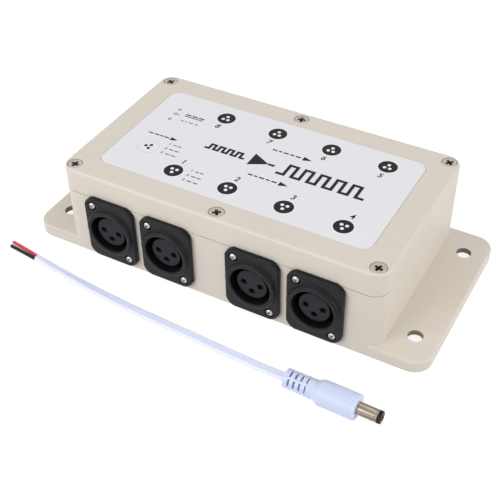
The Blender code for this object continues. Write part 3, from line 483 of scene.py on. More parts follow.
# %% The lead's route
ROUTE = (
    (0.0517, -0.0758),
    (0.0448, -0.0747),
    (0.0338, -0.0730),
    (0.0123, -0.0712),
    (-0.0042, -0.0703),
    (-0.0215, -0.0695),
    (-0.0351, -0.0687),
    (-0.0518, -0.0671),
    (-0.0679, -0.0651),
    (-0.0867, -0.0623),
)
ROUTE_RISE = (1.0, 0.65, 0.25)
JACKET_WIDTH = 0.0044
JACKET_HALF_THICK = 0.001
GRIP_RADIUS = 0.00555
ROUTE_STEPS = 8
# The flat cable rolls a little over its last steps, with its front edge up
ROLL = 0.34
ROLL_STEPS = 28


def between(before, start, end, after, t):
    """A point on the smooth curve from start to end that heads on from the points around them."""
    slope = end - before
    bow = 2 * before - 5 * start + 4 * end - after
    twist = 3 * start - before - 3 * end + after
    return 0.5 * (2 * start + slope * t + bow * t * t + twist * t**3)


route = [Vector((x, y, JACKET_HALF_THICK)) for x, y in ROUTE]
for point, share in zip(route, ROUTE_RISE):
    point.z += (GRIP_RADIUS - JACKET_HALF_THICK) * share
ends = [route[0] * 2 - route[1], *route, route[-1] * 2 - route[-2]]
lead_line = []
for corners in zip(ends, ends[1:], ends[2:], ends[3:]):
    lead_line += [between(*corners, k / ROUTE_STEPS) for k in range(ROUTE_STEPS)]
lead_line.append(route[-1])


def jacket_roll(k):
    """How far the jacket has rolled at a step of its line, in radians."""
    t = max(0, (k - len(lead_line) + 1 + ROLL_STEPS) / ROLL_STEPS)
    return ROLL * t * t * (3 - 2 * t)


for k, point in enumerate(lead_line):
    edge_drops = (JACKET_WIDTH / 2 - JACKET_HALF_THICK) * math.sin(jacket_roll(k))
    point.z = max(point.z, JACKET_HALF_THICK + edge_drops)
lead_length = sum((b - a).length for a, b in zip(lead_line, lead_line[1:]))
print("lead jacket, mm:", round(lead_length * 1000, 1), "in", len(lead_line), "points")


# %% Sweep the flat jacket
def swept(points, outline, up=None, roll=None, slant=0.0):
    """An outline swept along a path. With up given, the section's Y axis leans from it by roll.

    slant cuts the far end askew: it runs on by that share of how far a point lies to one side.
    """
    bm = bmesh.new()
    rings = []
    side = None
    for k, here in enumerate(points):
        before = here - points[k - 1] if k else points[1] - here
        after = points[k + 1] - here if k + 1 < len(points) else before
        along = (before.normalized() + after.normalized()).normalized()
        if up is not None:
            side = up.cross(along)
        elif side is None:
            side = along.orthogonal()
        else:
            side = side - along * side.dot(along)
        side.normalize()
        over = along.cross(side)
        if roll:
            level, upright, lean = side, over, roll(k)
            side = level * math.cos(lean) + upright * math.sin(lean)
            over = upright * math.cos(lean) - level * math.sin(lean)
        stretch = 1 / max(along.dot(after.normalized()), 0.5)
        askew = slant if k + 1 == len(points) else 0.0
        ring = [here + side * (x * stretch) + over * y - along * (x * askew) for x, y in outline]
        rings.append([bm.verts.new(corner) for corner in ring])
    return skinned(bm, rings)


JACKET_WAIST = 0.00006
HALFWAY_WAIST = 0.6 * JACKET_WAIST
JACKET_CUT_SLANT = 0.42
UP = Vector((0, 0, 1))


def two_core_outline(width, half_thick, steps=14):
    """The section of a flat two-core cable: round edges, and a shallow waist between the cores."""
    centre = width / 2 - half_thick
    made = []
    for side in (1, -1):
        for k in range(steps + 1):
            a = -math.pi / 2 + math.pi * k / steps
            made.append((side * (centre + half_thick * math.cos(a)), side * half_thick * math.sin(a)))
        made.append((side * centre / 2, side * (half_thick - HALFWAY_WAIST)))
        made.append((0, side * (half_thick - JACKET_WAIST)))
        made.append((-side * centre / 2, side * (half_thick - HALFWAY_WAIST)))
    return made


jacket_section = two_core_outline(JACKET_WIDTH, JACKET_HALF_THICK)
jacket_mesh = swept(lead_line, jacket_section, UP, jacket_roll, JACKET_CUT_SLANT)
lead_jacket = show(
    "lead_flat_jacket", jacket_mesh, jacket_white_glow, "case", ["lead_jacket"], sharp=50
)
print("jacket faces:", len(jacket_mesh.polygons))

# %% [markdown]
# The stripped end shows both cores. Each is a thin coloured sleeve over a few tinned strands that
# were twisted before dipping. A lobed outline that turns as it is swept gives the twist.

# %% The stripped cores
SLEEVE_RADIUS = 0.00085
CORE_RUN = 0.0159
CORE_SPREAD = 0.00105
CORE_STEPS = 10
KNEE_AT = 0.45
KNEE_RISE = 0.00025
RED_LIES_ABOVE = 0.0005
RED_ROOT_SINKS = 0.00035
RED_RUNS_ON = 0.0007
STRAND_RADIUS = 0.0004
STRAND_GROOVE = 0.14
STRAND_TAPER = 0.25
BARE_RUN = 0.0018
SEAT_GAP = 0.0003


def twisted_strands(start, end, radius, lobes=5, turns=0.6, steps=10):
    """A bundle of strands from start to end that are twisted round each other."""
    way = (end - start).normalized()
    side = way.orthogonal().normalized()
    over = way.cross(side)
    bm = bmesh.new()
    rings = []
    count = lobes * 6
    for step in range(steps + 1):
        t = step / steps
        middle = start.lerp(end, t)
        taper = radius * (1 - STRAND_TAPER * t**4)
        ring = []
        for k in range(count):
            a = 2 * math.pi * k / count
            reach = taper * (1 - STRAND_GROOVE * (1 - abs(math.cos(a * lobes / 2))))
            swing = a + 2 * math.pi * turns * t
            ring.append(middle + side * (reach * math.cos(swing)) + over * (reach * math.sin(swing)))
        rings.append([bm.verts.new(corner) for corner in ring])
    return skinned(bm, rings)


CORES = (
    ("red", red_sleeve, -1, RED_LIES_ABOVE, RED_ROOT_SINKS, RED_RUNS_ON),
    ("black", black_sleeve, 1, 0, 0, 0),
)
way_out = (lead_line[-1] - lead_line[-2]).normalized()
for colour, finish, side, raised, sunk, more in CORES:
    aside = UP.cross(way_out) * (side * CORE_SPREAD)
    root = lead_line[-1] - way_out * INSIDE + aside - UP * sunk
    foot = lead_line[-1] + way_out * (SEAT_GAP + CORE_RUN + more) + aside
    foot.z = SLEEVE_RADIUS + raised
    path = bend(root, root.lerp(foot, KNEE_AT) + UP * KNEE_RISE, foot, CORE_STEPS)
    sleeve = swept(path, circle(SLEEVE_RADIUS, 20))
    node = [f"lead_wire_{colour}"]
    show(f"lead_core_{colour}", sleeve, finish, "case", node)
    run = (path[-1] - path[-2]).normalized()
    run.z = 0
    strands = twisted_strands(foot - run * INSIDE, foot + run * BARE_RUN, STRAND_RADIUS)
    show(f"lead_strands_{colour}", strands, tinned, "case")

# %% [markdown]
# The plug is one soft moulding over the metal barrel. Its tail is slotted, so that it bends with
# the cable and doesn't kink it. Each ring has two pairs of slots, and a narrow rib stays between
# the two of a pair. The barrel is turned with a small bright edge and ends in a black ring.

# %% The plug's grip and relief
PLUG_POINTS_AT = (0.0942, -0.0765)
RELIEF_LENGTH = 0.0136
RELIEF_ROOT = 0.0041
RELIEF_NECK = 0.00425
GRIP_LENGTH = 0.0184
GRIP_TAPER = 0.0025
SLOT_MIDDLE = 0.0027
SLOT_PITCH = 0.0025
SLOT_WIDTHS = (0.00095, 0.00095, 0.0009, 0.0006)
SLOT_DEPTH = 0.0023
SLOT_SPAN = 0.0033
SLOT_CUT_TO = 0.006
# Where the narrow rib of a pair lies round the plug, and how far from it its two slots are
RIB_TURN = math.radians(125)
SLOT_FROM_RIB = math.radians(30.5)
# What the turn from jacket to plug takes up, as a share of half the jacket's width
PLUG_BEND = 0.22
JACKET_INSIDE = 0.0004
BARREL_RADIUS = 0.00275
BARREL_INSIDE = 0.004

plug_way = (Vector((*PLUG_POINTS_AT, route[0].z)) - route[0]).normalized()
stands_off = PLUG_BEND * JACKET_WIDTH / 2 + SEAT_GAP - JACKET_INSIDE
plug_root = Matrix.Translation(route[0] + plug_way * stands_off)
plug_frame = plug_root @ plug_way.to_track_quat("Z", "Y").to_matrix().to_4x4()
plug_end = RELIEF_LENGTH + GRIP_LENGTH
barrel_seat = plug_end - BARREL_INSIDE
grip_profile = (
    (0, 0, 0),
    (RELIEF_ROOT, 0, 0.0005),
    (RELIEF_NECK, RELIEF_LENGTH, 0.0004),
    (GRIP_RADIUS, RELIEF_LENGTH + GRIP_TAPER, 0.0012),
    (GRIP_RADIUS, plug_end, 0.0005),
    (0, plug_end, 0),
)
slots = []
for k, slot_width in enumerate(SLOT_WIDTHS):
    slot_outline = corner_outline(SLOT_SPAN, slot_width, slot_width / 3, 3)
    slot = prism(slot_outline, RELIEF_ROOT - SLOT_DEPTH, SLOT_CUT_TO)
    slot = moved(shifted(slot, turn_about("Y") @ turn_about("Z")), z=SLOT_MIDDLE + SLOT_PITCH * k)
    for rib in (RIB_TURN, RIB_TURN + math.pi):
        slots += [spun(slot, rib + side * SLOT_FROM_RIB) for side in (-1, 1)]
slots.append(rod(BARREL_RADIUS + NEAR, barrel_seat, plug_end + PAST, sides=48))
grip_mesh = cut(soft_turned(grip_profile, 0.0004), gather(slots))
plug_grip = show("plug_moulding", grip_mesh, grip_white, "case", ["plug_grip"], plug_frame)
print("grip faces:", len(grip_mesh.polygons))

# %% The plug's barrel and tip
BARREL_LENGTH = 0.0087
BARREL_BORE = 0.0016
GROOVE_DEEP = 0.00015
TIP_LENGTH = 0.0016
TIP_BORE = 0.0011
SPRING_BORE, SPRING_RADIUS = 0.00085, 0.00105

barrel_end = plug_end + BARREL_LENGTH
barrel_profile = (
    (0, barrel_seat, 0),
    (BARREL_RADIUS, barrel_seat, 0.0002),
    (BARREL_RADIUS, barrel_end - 0.0011),
    (BARREL_RADIUS - GROOVE_DEEP, barrel_end - 0.0009),
    (BARREL_RADIUS, barrel_end - 0.0007),
    (BARREL_RADIUS, barrel_end, 0.00015),
    (BARREL_BORE, barrel_end),
    (BARREL_BORE, plug_end, 0),
    (0, plug_end, 0),
)
barrel_mesh = soft_turned(barrel_profile, 0.0001, steps=3)
barrel = show("plug_barrel", barrel_mesh, plug_nickel, "case", ["plug_sleeve"], plug_frame)
tip_low, tip_high = barrel_end + 0.00005, barrel_end + TIP_LENGTH
tip_profile = (
    (TIP_BORE, tip_low),
    (BARREL_RADIUS, tip_low),
    (BARREL_RADIUS, tip_high, 0.0005),
    (TIP_BORE, tip_high, 0.0003),
)
tip_mesh = soft_turned(tip_profile, 0.0001, 48)
tip = show("plug_tip", tip_mesh, black_sleeve, "case", ["plug_tip_ring"], plug_frame)
spring_mesh = tube(SPRING_BORE, SPRING_RADIUS, plug_end + 0.0005, tip_high - 0.0006, 32)
spring = show("plug_inner_contact", spring_mesh, contact_brass, "case", at=plug_frame)
print("the plug's metal end, mm:", round((tip_high - plug_end) * 1000, 1))

path = [tuple(p) for p in lead_line[:: ROUTE_STEPS // 4]]
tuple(path[0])
print("cord path points:", len(path))

# %% [markdown]
# ## The case
#
# The base and the lid are two injection mouldings of the same beige plastic. Only their edges
# show that they are mouldings: a soft rounding on the lid's rim and on the ears, and a thin line
# where they meet. The base starts as one lofted block with the ears joined on. Then its inside is
# cut out, bosses and posts are joined to its floor, and all the holes are cut last.

# %% Sizes of the case
CASE_LENGTH = 0.158
CASE_WIDTH = 0.090
CASE_CORNER = 0.007
CASE_HEIGHT = 0.046
LID_BOTTOM = 0.034
BASE_TOP = 0.0337
WALL = 0.003
FLOOR = 0.003
BOSS_RADIUS = 0.005
SCREW_X, SCREW_Y = 0.0738, 0.0398
SCREW_PLACES = [(x, y) for x in (-SCREW_X, 0, SCREW_X) for y in (-SCREW_Y, SCREW_Y)]
POST_X, POST_Y = (-0.0377, 0.0620), 0.0195
POST_PLACES = [(x, y) for x in POST_X for y in (-POST_Y, POST_Y)]
SOCKET_HEIGHT = 0.0188
SOCKET_X = [share * CASE_LENGTH for share in (-0.3323, -0.1449, 0.1297, 0.3171)]
INPUT_Y, INPUT_HEIGHT = -0.01225, 0.0196
JACK_Y, JACK_HEIGHT = 0.015, 0.0184
FRONT, BACK, LEFT = 0, math.pi, -math.pi / 2

case_outline = drawn_in(CASE_LENGTH, CASE_WIDTH, CASE_CORNER, 0.001)


def facing(location, turn):
    """From a socket's own frame, with +Z out of the wall and +Y up, to the case."""
    return Matrix.Translation(location) @ turn_about("Z", turn) @ turn_about("X")


def on_left_wall(y, z):
    return (-CASE_LENGTH / 2 - SEAT_GAP, y, z)


wall_face = CASE_WIDTH / 2 + SEAT_GAP
OUTPUTS = [(k + 1, facing((x, -wall_face, SOCKET_HEIGHT), FRONT)) for k, x in enumerate(SOCKET_X)]
OUTPUTS += [(8 - k, facing((x, wall_face, SOCKET_HEIGHT), BACK)) for k, x in enumerate(SOCKET_X)]
INPUT_AT = facing(on_left_wall(INPUT_Y, INPUT_HEIGHT), LEFT)
JACK_AT = facing(on_left_wall(JACK_Y, JACK_HEIGHT), LEFT)
print("outputs:", [number for number, _ in OUTPUTS])

# %% The ears
EAR_REACH = 0.021
EAR_THICK = 0.006
EAR_PLATE = 0.0027
EAR_SKIRT = 0.0025
EAR_CORNER = 0.0085
EAR_ROUND = 0.0009
EAR_HOLE_X, EAR_HOLE_Y = 0.0895, 0.030
EAR_HOLES = [(x, y) for x in (-EAR_HOLE_X, EAR_HOLE_X) for y in (-EAR_HOLE_Y, EAR_HOLE_Y)]
EAR_HOLE_RADIUS = 0.0034
FOOT_ROUND = 0.0004


def make_ears():
    outline = drawn_in(CASE_LENGTH + 2 * EAR_REACH, CASE_WIDTH, EAR_CORNER)
    return loft(pad_levels(outline, 0, EAR_THICK, FOOT_ROUND, EAR_ROUND))


def make_ear_hollows():
    """The space under each ear, inside its skirt."""
    outline = drawn_in(EAR_REACH - 2 * EAR_SKIRT, CASE_WIDTH - 2 * EAR_SKIRT, EAR_CORNER - EAR_SKIRT)
    hollow = loft(pad_levels(outline, -PAST, EAR_THICK - EAR_PLATE, 0.0001, 0.0006))
    middle = (CASE_LENGTH + EAR_REACH) / 2
    return gather([moved(hollow, -middle), moved(hollow, middle)])


ears = make_ears()
print("ears reach, mm:", round((CASE_LENGTH / 2 + EAR_REACH) * 1000, 1), "from the middle")

# %% The base's holes
POST_RADIUS, POST_TOP = 0.003, 0.0072
POST_HOLE_RADIUS, POST_HOLE_BOTTOM = 0.0015, 0.0046
BOSS_HOLE_RADIUS, BOSS_HOLE_BOTTOM = 0.0022, 0.0232
SHELL_RADIUS = 0.0116
JACK_RADIUS = 0.0054
FLANGE_SCREWS = ((-0.0087, 0.0124), (0.0087, -0.0124))
FLANGE_SCREW_RADIUS = 0.00125
# How far a socket's hole is cut past the wall, inwards and outwards
HOLE_INWARDS, HOLE_OUTWARDS = 0.0015, 0.001


def wall_hole(radius, centre=(0, 0), sides=48):
    return rod(radius + SEAT_GAP, -WALL - HOLE_INWARDS, HOLE_OUTWARDS, centre, sides)


def make_base_holes():
    """Holes for the lid's screws, the board's screws, the ears, the sockets and the jack."""
    holes = [rod(BOSS_HOLE_RADIUS, BOSS_HOLE_BOTTOM, BASE_TOP + PAST, p) for p in SCREW_PLACES]
    holes += [rod(POST_HOLE_RADIUS, POST_HOLE_BOTTOM, POST_TOP + PAST, p, 24) for p in POST_PLACES]
    holes += [rod(EAR_HOLE_RADIUS, -PAST, EAR_THICK + PAST, p, 48) for p in EAR_HOLES]
    flange_screws = [wall_hole(FLANGE_SCREW_RADIUS, p, 20) for p in FLANGE_SCREWS]
    socket_holes = gather([wall_hole(SHELL_RADIUS), *flange_screws])
    holes += [shifted(socket_holes, at) for _, at in OUTPUTS]
    holes.append(shifted(spun(socket_holes, math.pi / 2), INPUT_AT))
    holes.append(shifted(wall_hole(JACK_RADIUS), JACK_AT))
    return gather(holes)


base_holes = make_base_holes()
print("faces of the base's hole cutters:", len(base_holes.polygons))

# %% The base
BASE_TOP_ROUND = 0.0003


def boss_rods(bottom, top, grow=0.0):
    """A rod round each lid screw's place."""
    return gather([rod(BOSS_RADIUS + grow, bottom, top, p, 40) for p in SCREW_PLACES])


def make_base():
    body = loft(pad_levels(case_outline, 0, BASE_TOP, FOOT_ROUND, BASE_TOP_ROUND))
    body = joined(body, ears)
    body = cut(body, prism(case_outline(WALL), FLOOR, BASE_TOP + PAST))
    body = cut(body, make_ear_hollows())
    inside = prism(case_outline(WALL / 2), FLOOR - INSIDE, BASE_TOP)
    bosses = kept(boss_rods(FLOOR - INSIDE, BASE_TOP), inside)
    posts = gather([rod(POST_RADIUS, FLOOR - INSIDE, POST_TOP, p) for p in POST_PLACES])
    body = joined(body, bosses, posts)
    return cut(body, base_holes)


base_mesh = make_base()
show("case_tray", base_mesh, case_moulding, "case", ["case_base"])


def in_ear_hole(face):
    reach = min(math.dist(face.center[:2], hole) for hole in EAR_HOLES)
    return reach < EAR_HOLE_RADIUS + NEAR and abs(face.normal.z) < 0.5


# The walls of the ears' holes take that darker plastic, as painted shade
bore_shade_faces = second_finish(base_mesh, ear_bore_painted_shade, in_ear_hole)
print("base faces:", len(base_mesh.polygons), "with", bore_shade_faces, "in the ears' holes")

# %% [markdown]
# The lid carries a lip that drops inside the base, six columns above the base's bosses, a shallow
# pocket for the label and a countersink for each screw. Where it meets the base both edges are
# slightly rounded, which is what draws the thin shadow line round the box.

# %% The lid's screw wells and label pocket
POCKET_DEPTH, POCKET_EDGE = 0.0008, 0.0002
LABEL_LENGTH, LABEL_WIDTH, LABEL_CORNER = 0.133, 0.066, 0.005
SCREW_SUNK = 0.0005
HEAD_WELL_RADIUS = 0.0037
WELL_DEPTH, CONE_DEPTH, WELL_EDGE = 0.014, 0.0015, 0.00015


def make_screw_wells():
    """The way of each lid screw: a hole for its shank, a cone for its head and a wider well."""
    top = -SCREW_SUNK - SEAT_GAP
    well_profile = (
        (0, -WELL_DEPTH),
        (BOSS_HOLE_RADIUS, -WELL_DEPTH),
        (BOSS_HOLE_RADIUS, top - CONE_DEPTH),
        (HEAD_WELL_RADIUS, top),
        (HEAD_WELL_RADIUS, -WELL_EDGE),
        (HEAD_WELL_RADIUS + WELL_EDGE, 0),
        (HEAD_WELL_RADIUS + WELL_EDGE, PAST),
        (0, PAST),
    )
    well = turned(well_profile, 48)
    return gather([moved(well, *p, CASE_HEIGHT) for p in SCREW_PLACES])


def make_pocket():
    """The label's pocket, which widens slightly at its mouth."""
    outline = drawn_in(LABEL_LENGTH, LABEL_WIDTH, LABEL_CORNER)
    low, mouth = outline(-SEAT_GAP), outline(-SEAT_GAP - NEAR)
    heights = (-POCKET_DEPTH, -POCKET_EDGE, 0, PAST)
    return loft([(o, CASE_HEIGHT + z) for o, z in zip((low, low, mouth, mouth), heights)])


lid_openings = [make_screw_wells(), make_pocket()]
print("faces of the lid's cutters:", [len(mesh.polygons) for mesh in lid_openings])

# %% The lid
LID_ROUND = 0.0014
LID_BOTTOM_ROUND = 0.0004
LID_ROOF = 0.003
LIP_DEPTH, LIP_TOP, LIP_THICK = 0.0012, 0.002, 0.0015
# The lip's root starts a little above the lid's rounded lower edge
LIP_ROOT_BOTTOM, LIP_ROOT_TOP = 0.00025, 0.0015
COLUMN_SHY = 0.0005
GROOVE_DEPTH, GROOVE_WIDTH = 0.001, 0.0014
SEAL_TOP, SEAL_WIDTH = 0.0008, 0.001
SEAL_BELOW_LID = 0.00002


def band(outer, inner, bottom, top):
    """A band round the lid between two insets from its outline, with heights from its lower edge."""
    core = prism(case_outline(inner), LID_BOTTOM + bottom - PAST, LID_BOTTOM + top + PAST)
    return cut(prism(case_outline(outer), LID_BOTTOM + bottom, LID_BOTTOM + top), core)


def wall_band(width, bottom, top):
    """A band of that width along the middle of the wall."""
    return band(WALL / 2 - width / 2, WALL / 2 + width / 2, bottom, top)


def make_lid():
    body = loft(pad_levels(case_outline, LID_BOTTOM, CASE_HEIGHT, LID_BOTTOM_ROUND, LID_ROUND, 6))
    body = cut(body, prism(case_outline(WALL), LID_BOTTOM - PAST, CASE_HEIGHT - LID_ROOF))
    lip_edge = WALL + SEAT_GAP
    lip = band(lip_edge, lip_edge + LIP_THICK, -LIP_DEPTH, LIP_TOP)
    lip = cut(lip, boss_rods(LID_BOTTOM - LIP_DEPTH - PAST, LID_BOTTOM, SEAT_GAP))
    root = band(WALL - INSIDE, WALL + LIP_THICK, LIP_ROOT_BOTTOM, LIP_ROOT_TOP)
    inside = prism(case_outline(WALL / 2), LID_BOTTOM - INSIDE, CASE_HEIGHT - LID_ROOF / 2)
    columns = kept(boss_rods(LID_BOTTOM + COLUMN_SHY, CASE_HEIGHT), inside)
    body = joined(body, root, lip, columns)
    return cut(body, *lid_openings, wall_band(GROOVE_WIDTH, -GROOVE_DEPTH, GROOVE_DEPTH))


lid_mesh = make_lid()
show("case_cover", lid_mesh, case_moulding, "lid", ["case_lid"])
seal = wall_band(SEAL_WIDTH, -SEAL_BELOW_LID, SEAL_TOP)
show("cover_seal", seal, seal_rubber, "lid", ["lid_seal"])
print("lid faces:", len(lid_mesh.polygons), "seal faces:", len(seal.polygons))

# %% [markdown]
# Each lid screw is a countersunk machine screw with a cross recess. The recess tapers as it goes
# down, so its cutter is lofted from a wide cross to a narrow one, and the head's rim is slightly
# rounded to catch a thin bright line. Each screw stops at its own angle, as real ones do.

# %% The lid screws
HEAD_RADIUS = 0.0034
SCREW_LENGTH = 0.022
SHANK_RADIUS = 0.0016
THREAD_RADIUS, THREAD_PITCH, THREAD_DEPTH = 0.0019, 0.0007, 0.00028
RECESS_ARM, RECESS_WIDTH, RECESS_DEPTH = 0.0020, 0.0013, 0.0023
FIRST_TURN, NEXT_TURN = 0.35, 1.13


def cross_cutter(arm, width, depth, foot=0.55):
    """A cross recess that narrows downwards from z 0."""
    arms = []
    for angle in (0, math.pi / 2):
        low = corner_outline(arm * 2 * foot, width * 0.7, width * 0.15, 2)
        high = corner_outline(arm * 2, width, width * 0.2, 2)
        past = corner_outline(arm * 2.2, width * 1.1, width * 0.2, 2)
        arms.append(spun(loft([(low, -depth), (high, 0), (past, depth)]), angle))
    return joined(*arms)


def thread(radius, bottom, top, pitch, depth):
    """Ridges for a turned profile that stand for a screw's thread."""
    made = []
    z = bottom
    while z + pitch < top:
        made += [(radius - depth, z), (radius, z + pitch * 0.5)]
        z += pitch
    return made + [(radius - depth, z)]


thread_bottom = -SCREW_LENGTH + THREAD_PITCH
screw_profile = [
    (0, -SCREW_LENGTH),
    (0.0012, -SCREW_LENGTH),
    *thread(THREAD_RADIUS, thread_bottom, -0.0078, THREAD_PITCH, THREAD_DEPTH),
    (SHANK_RADIUS, -0.0074),
    (SHANK_RADIUS, -0.0027),
    (HEAD_RADIUS - 0.0001, -0.00035),
    (HEAD_RADIUS, -0.0002),
    (HEAD_RADIUS, -0.00012),
    (HEAD_RADIUS - 0.00012, 0),
    (0, 0),
]
screw_mesh = cut(turned(screw_profile, 48), cross_cutter(RECESS_ARM, RECESS_WIDTH, RECESS_DEPTH))
for number, (x, y) in enumerate(SCREW_PLACES, 1):
    name, node = f"cover_screw_{number}", [f"lid_screw_{number}"]
    stand = spot(x, y, CASE_HEIGHT - SCREW_SUNK) @ turn_about("Z", FIRST_TURN + number * NEXT_TURN)
    show(name, screw_mesh, lid_screw_steel, "lid", node, stand)


def in_recess(face):
    x, y, z = face.center
    return math.hypot(x, y) < RECESS_ARM + NEAR and -RECESS_DEPTH - NEAR < z < -NEAR / 5


# The recess's faces take that dark steel, as painted shade in the cross
recess_shade_faces = second_finish(screw_mesh, recess_painted_shade, in_recess)
print("screw faces:", len(screw_mesh.polygons), "with", recess_shade_faces, "in the recess")

# %% [markdown]
# ## The label
#
# The label is a satin film in the lid's pocket, printed in black. Its marks are generic ones: a
# disc with three dots for each three-pin socket, plain numbers, pin digits with short rules,
# arrows, and a signal-flow drawing of a small wave that an amplifier makes larger. Print could be
# a painted texture, but thin shapes that stand 0.02 mm above the film stay sharp at any size.

# %% Print helpers
FILM_TOP = 0.0459
INK_THICK = 0.00002
INK_TOP = FILM_TOP + INK_THICK
DOT_TOP = FILM_TOP + 2 * INK_THICK
FIGURE_HALF_THICK = 0.00006
FIGURE_SWELL, FIGURE_LEAN = 0.02, 0.15
MM = 0.001


def plate(outline, top=INK_TOP):
    """A thin printed shape from an outline in millimetres on the lid."""
    return prism([(x * MM, y * MM) for x, y in outline], FILM_TOP - NEAR, top)


def disc(x, y, radius, sides=24, top=INK_TOP):
    return plate(circle(radius, sides, (x, y)), top)


def bar(x, y, length, thick):
    low, high = y - thick / 2, y + thick / 2
    return plate(((x, low), (x + length, low), (x + length, high), (x, high)))


def dashes(x, y, parts, thick):
    """A row of bars that are given as (start, length) from x."""
    return [bar(x + start, y, length, thick) for start, length in parts]


def arrow_head(x, y, length, half_width):
    return plate(((x, y - half_width), (x + length, y), (x, y + half_width)))


def ring(x, y, outer, inner):
    flat = tube(inner * MM, outer * MM, FILM_TOP - NEAR, INK_TOP, 40)
    return moved(flat, x * MM, y * MM)


def stroke(points, width):
    """A line of one width through corner points, mitred at its corners."""
    left, right_side = [], []
    points = [Vector(point) for point in points]
    for k, here in enumerate(points):
        before = (here - points[k - 1] if k else points[1] - here).normalized()
        after = (points[k + 1] - here).normalized() if k + 1 < len(points) else before
        along = (before + after).normalized()
        normal = Vector((-along.y, along.x)) * (width / 2 / max(along.dot(after), 0.3))
        left.append(tuple(here + normal))
        right_side.append(tuple(here - normal))
    return plate(right_side + left[::-1])


def figures(text, x, y, size):
    """Plain figures from Blender's own font, as thin printed shapes."""
    curve = bpy.data.curves.new("figures", "FONT")
    curve.body = text
    curve.size = size * MM
    curve.extrude = FIGURE_HALF_THICK
    curve.offset = size * MM * FIGURE_SWELL
    curve.shear = FIGURE_LEAN
    curve.align_x = "CENTER"
    curve.align_y = "CENTER"
    holder = bpy.data.objects.new("figures", curve)
    scene.collection.objects.link(holder)
    bpy.context.view_layer.update()
    depsgraph = bpy.context.evaluated_depsgraph_get()
    mesh = bpy.data.meshes.new_from_object(holder.evaluated_get(depsgraph))
    bpy.data.objects.remove(holder)
    mesh.materials.clear()
    return moved(mesh, x * MM, y * MM, INK_TOP - FIGURE_HALF_THICK)


# %% The film and the sockets' marks
FILM_GROWS = 0.0002
FILM_BOTTOM = 0.0455
DISC_RADIUS, DOT_RADIUS, FIGURE_SIZE = 4.4, 0.82, 4.4
DISC_X = [-31.7 + 27.6 * k for k in range(4)]
FRONT_Y, BACK_Y = -23.7, 23.4
DOTS = ((-1.24, 1.0), (1.24, 1.0), (0, -1.4))
# From a disc's middle to its number
NUMBER_ASIDE, NUMBER_AWAY = 0.6, 7.6

film_length, film_width = LABEL_LENGTH + 2 * FILM_GROWS, LABEL_WIDTH + 2 * FILM_GROWS
film_outline = drawn_in(film_length, film_width, LABEL_CORNER + FILM_GROWS)
film = loft(pad_levels(film_outline, FILM_BOTTOM, FILM_TOP, 0.00005, 0.0001, 2))
show("label_sheet", film, label_film, "lid", ["top_label"])
ink, dots, faint = [], [], []
for k, x in enumerate(DISC_X):
    for y, way, number in ((FRONT_Y, 1, k + 1), (BACK_Y, -1, 8 - k)):
        ink.append(disc(x, y, DISC_RADIUS, 56))
        dots += [disc(x + way * dx, y + way * dy, DOT_RADIUS, top=DOT_TOP) for dx, dy in DOTS]
        dots.append(ring(x, y, DISC_RADIUS + 0.35, DISC_RADIUS))
        ink.append(figures(str(number), x + way * NUMBER_ASIDE, y + way * NUMBER_AWAY, FIGURE_SIZE))
print("print so far:", len(ink), "dark shapes and", len(dots), "dots")

# %% The input's marks, the pin lists and the supply's marks
IN_X, IN_Y = -51.9, -13.2
IN_DOTS = ((-1.4, 0), (0.7, 1.3), (0.7, -1.3))
PIN_LISTS = ((DISC_X[0] + 7.3, FRONT_Y), (-44.0, -10.9))
PIN_ROWS = (("1", 4.2), ("2", 5.2), ("3", 5.6))
PIN_ROW_STEP, PIN_DIGIT = 3.7, 2.2
IN_ARROW = ((-58.3, 2.6), (-55.0, 2.6), (-51.9, 1.6), (-49.8, 2.8))
IN_ARROW_Y = -3.3
SUPPLY_X = -50.6
SUPPLY_NOTES = ((0.4, 1.6), (2.8, 1.0), (4.7, 2.4), (8.0, 1.8))
SUPPLY_RINGS = (19.6, 15.5, 10.6)

faint.append(ring(IN_X, IN_Y, 5.2, 5.02))
ink += [disc(IN_X + dx, IN_Y + dy, 0.85) for dx, dy in IN_DOTS]
for x, y in PIN_LISTS:
    for row, (digit, length) in enumerate(PIN_ROWS):
        line = y + PIN_ROW_STEP * (1 - row)
        ink.append(figures(digit, x, line, PIN_DIGIT))
        ink += dashes(x + 1.9, line, ((0, length * 0.42), (length * 0.55, length * 0.42)), 0.55)
ink += dashes(0, IN_ARROW_Y, IN_ARROW, 0.75)
ink.append(arrow_head(-46.2, IN_ARROW_Y, 3.8, 1.3))
ink += dashes(SUPPLY_X, 17.4, ((0, 2.9), (3.6, 2.9), (7.2, 2.9)), 0.8)
ink.append(bar(SUPPLY_X, 16.0, 10.1, 0.55))
ink += dashes(SUPPLY_X, 11.9, SUPPLY_NOTES, 0.5)
ink += [ring(-55.6, y, 0.85, 0.5) for y in SUPPLY_RINGS]
ink.append(stroke(((-54.75, SUPPLY_RINGS[1]), (-52.9, SUPPLY_RINGS[1])), 0.35))
print("dark shapes with the left end's marks:", len(ink))

# %% The signal-flow drawing and the outputs' arrows
WAVE_Y = 0.2
OUT_ARROWS = ((-1.3, -10.3), (-0.3, 11.3))
OUT_DASHES = ((0, 2.4), (3.2, 1.5), (5.5, 2.6), (8.9, 2.0), (11.7, 2.6))


def square_wave(x, y, step, height, count):
    low, high = y - height / 2, y + height / 2
    points = [(x, low)]
    for k in range(count):
        start = x + step * (2 * k + 1)
        points += [(start, low), (start, high), (start + step, high), (start + step, low)]
    return points + [(x + step * (2 * count + 1), low)]


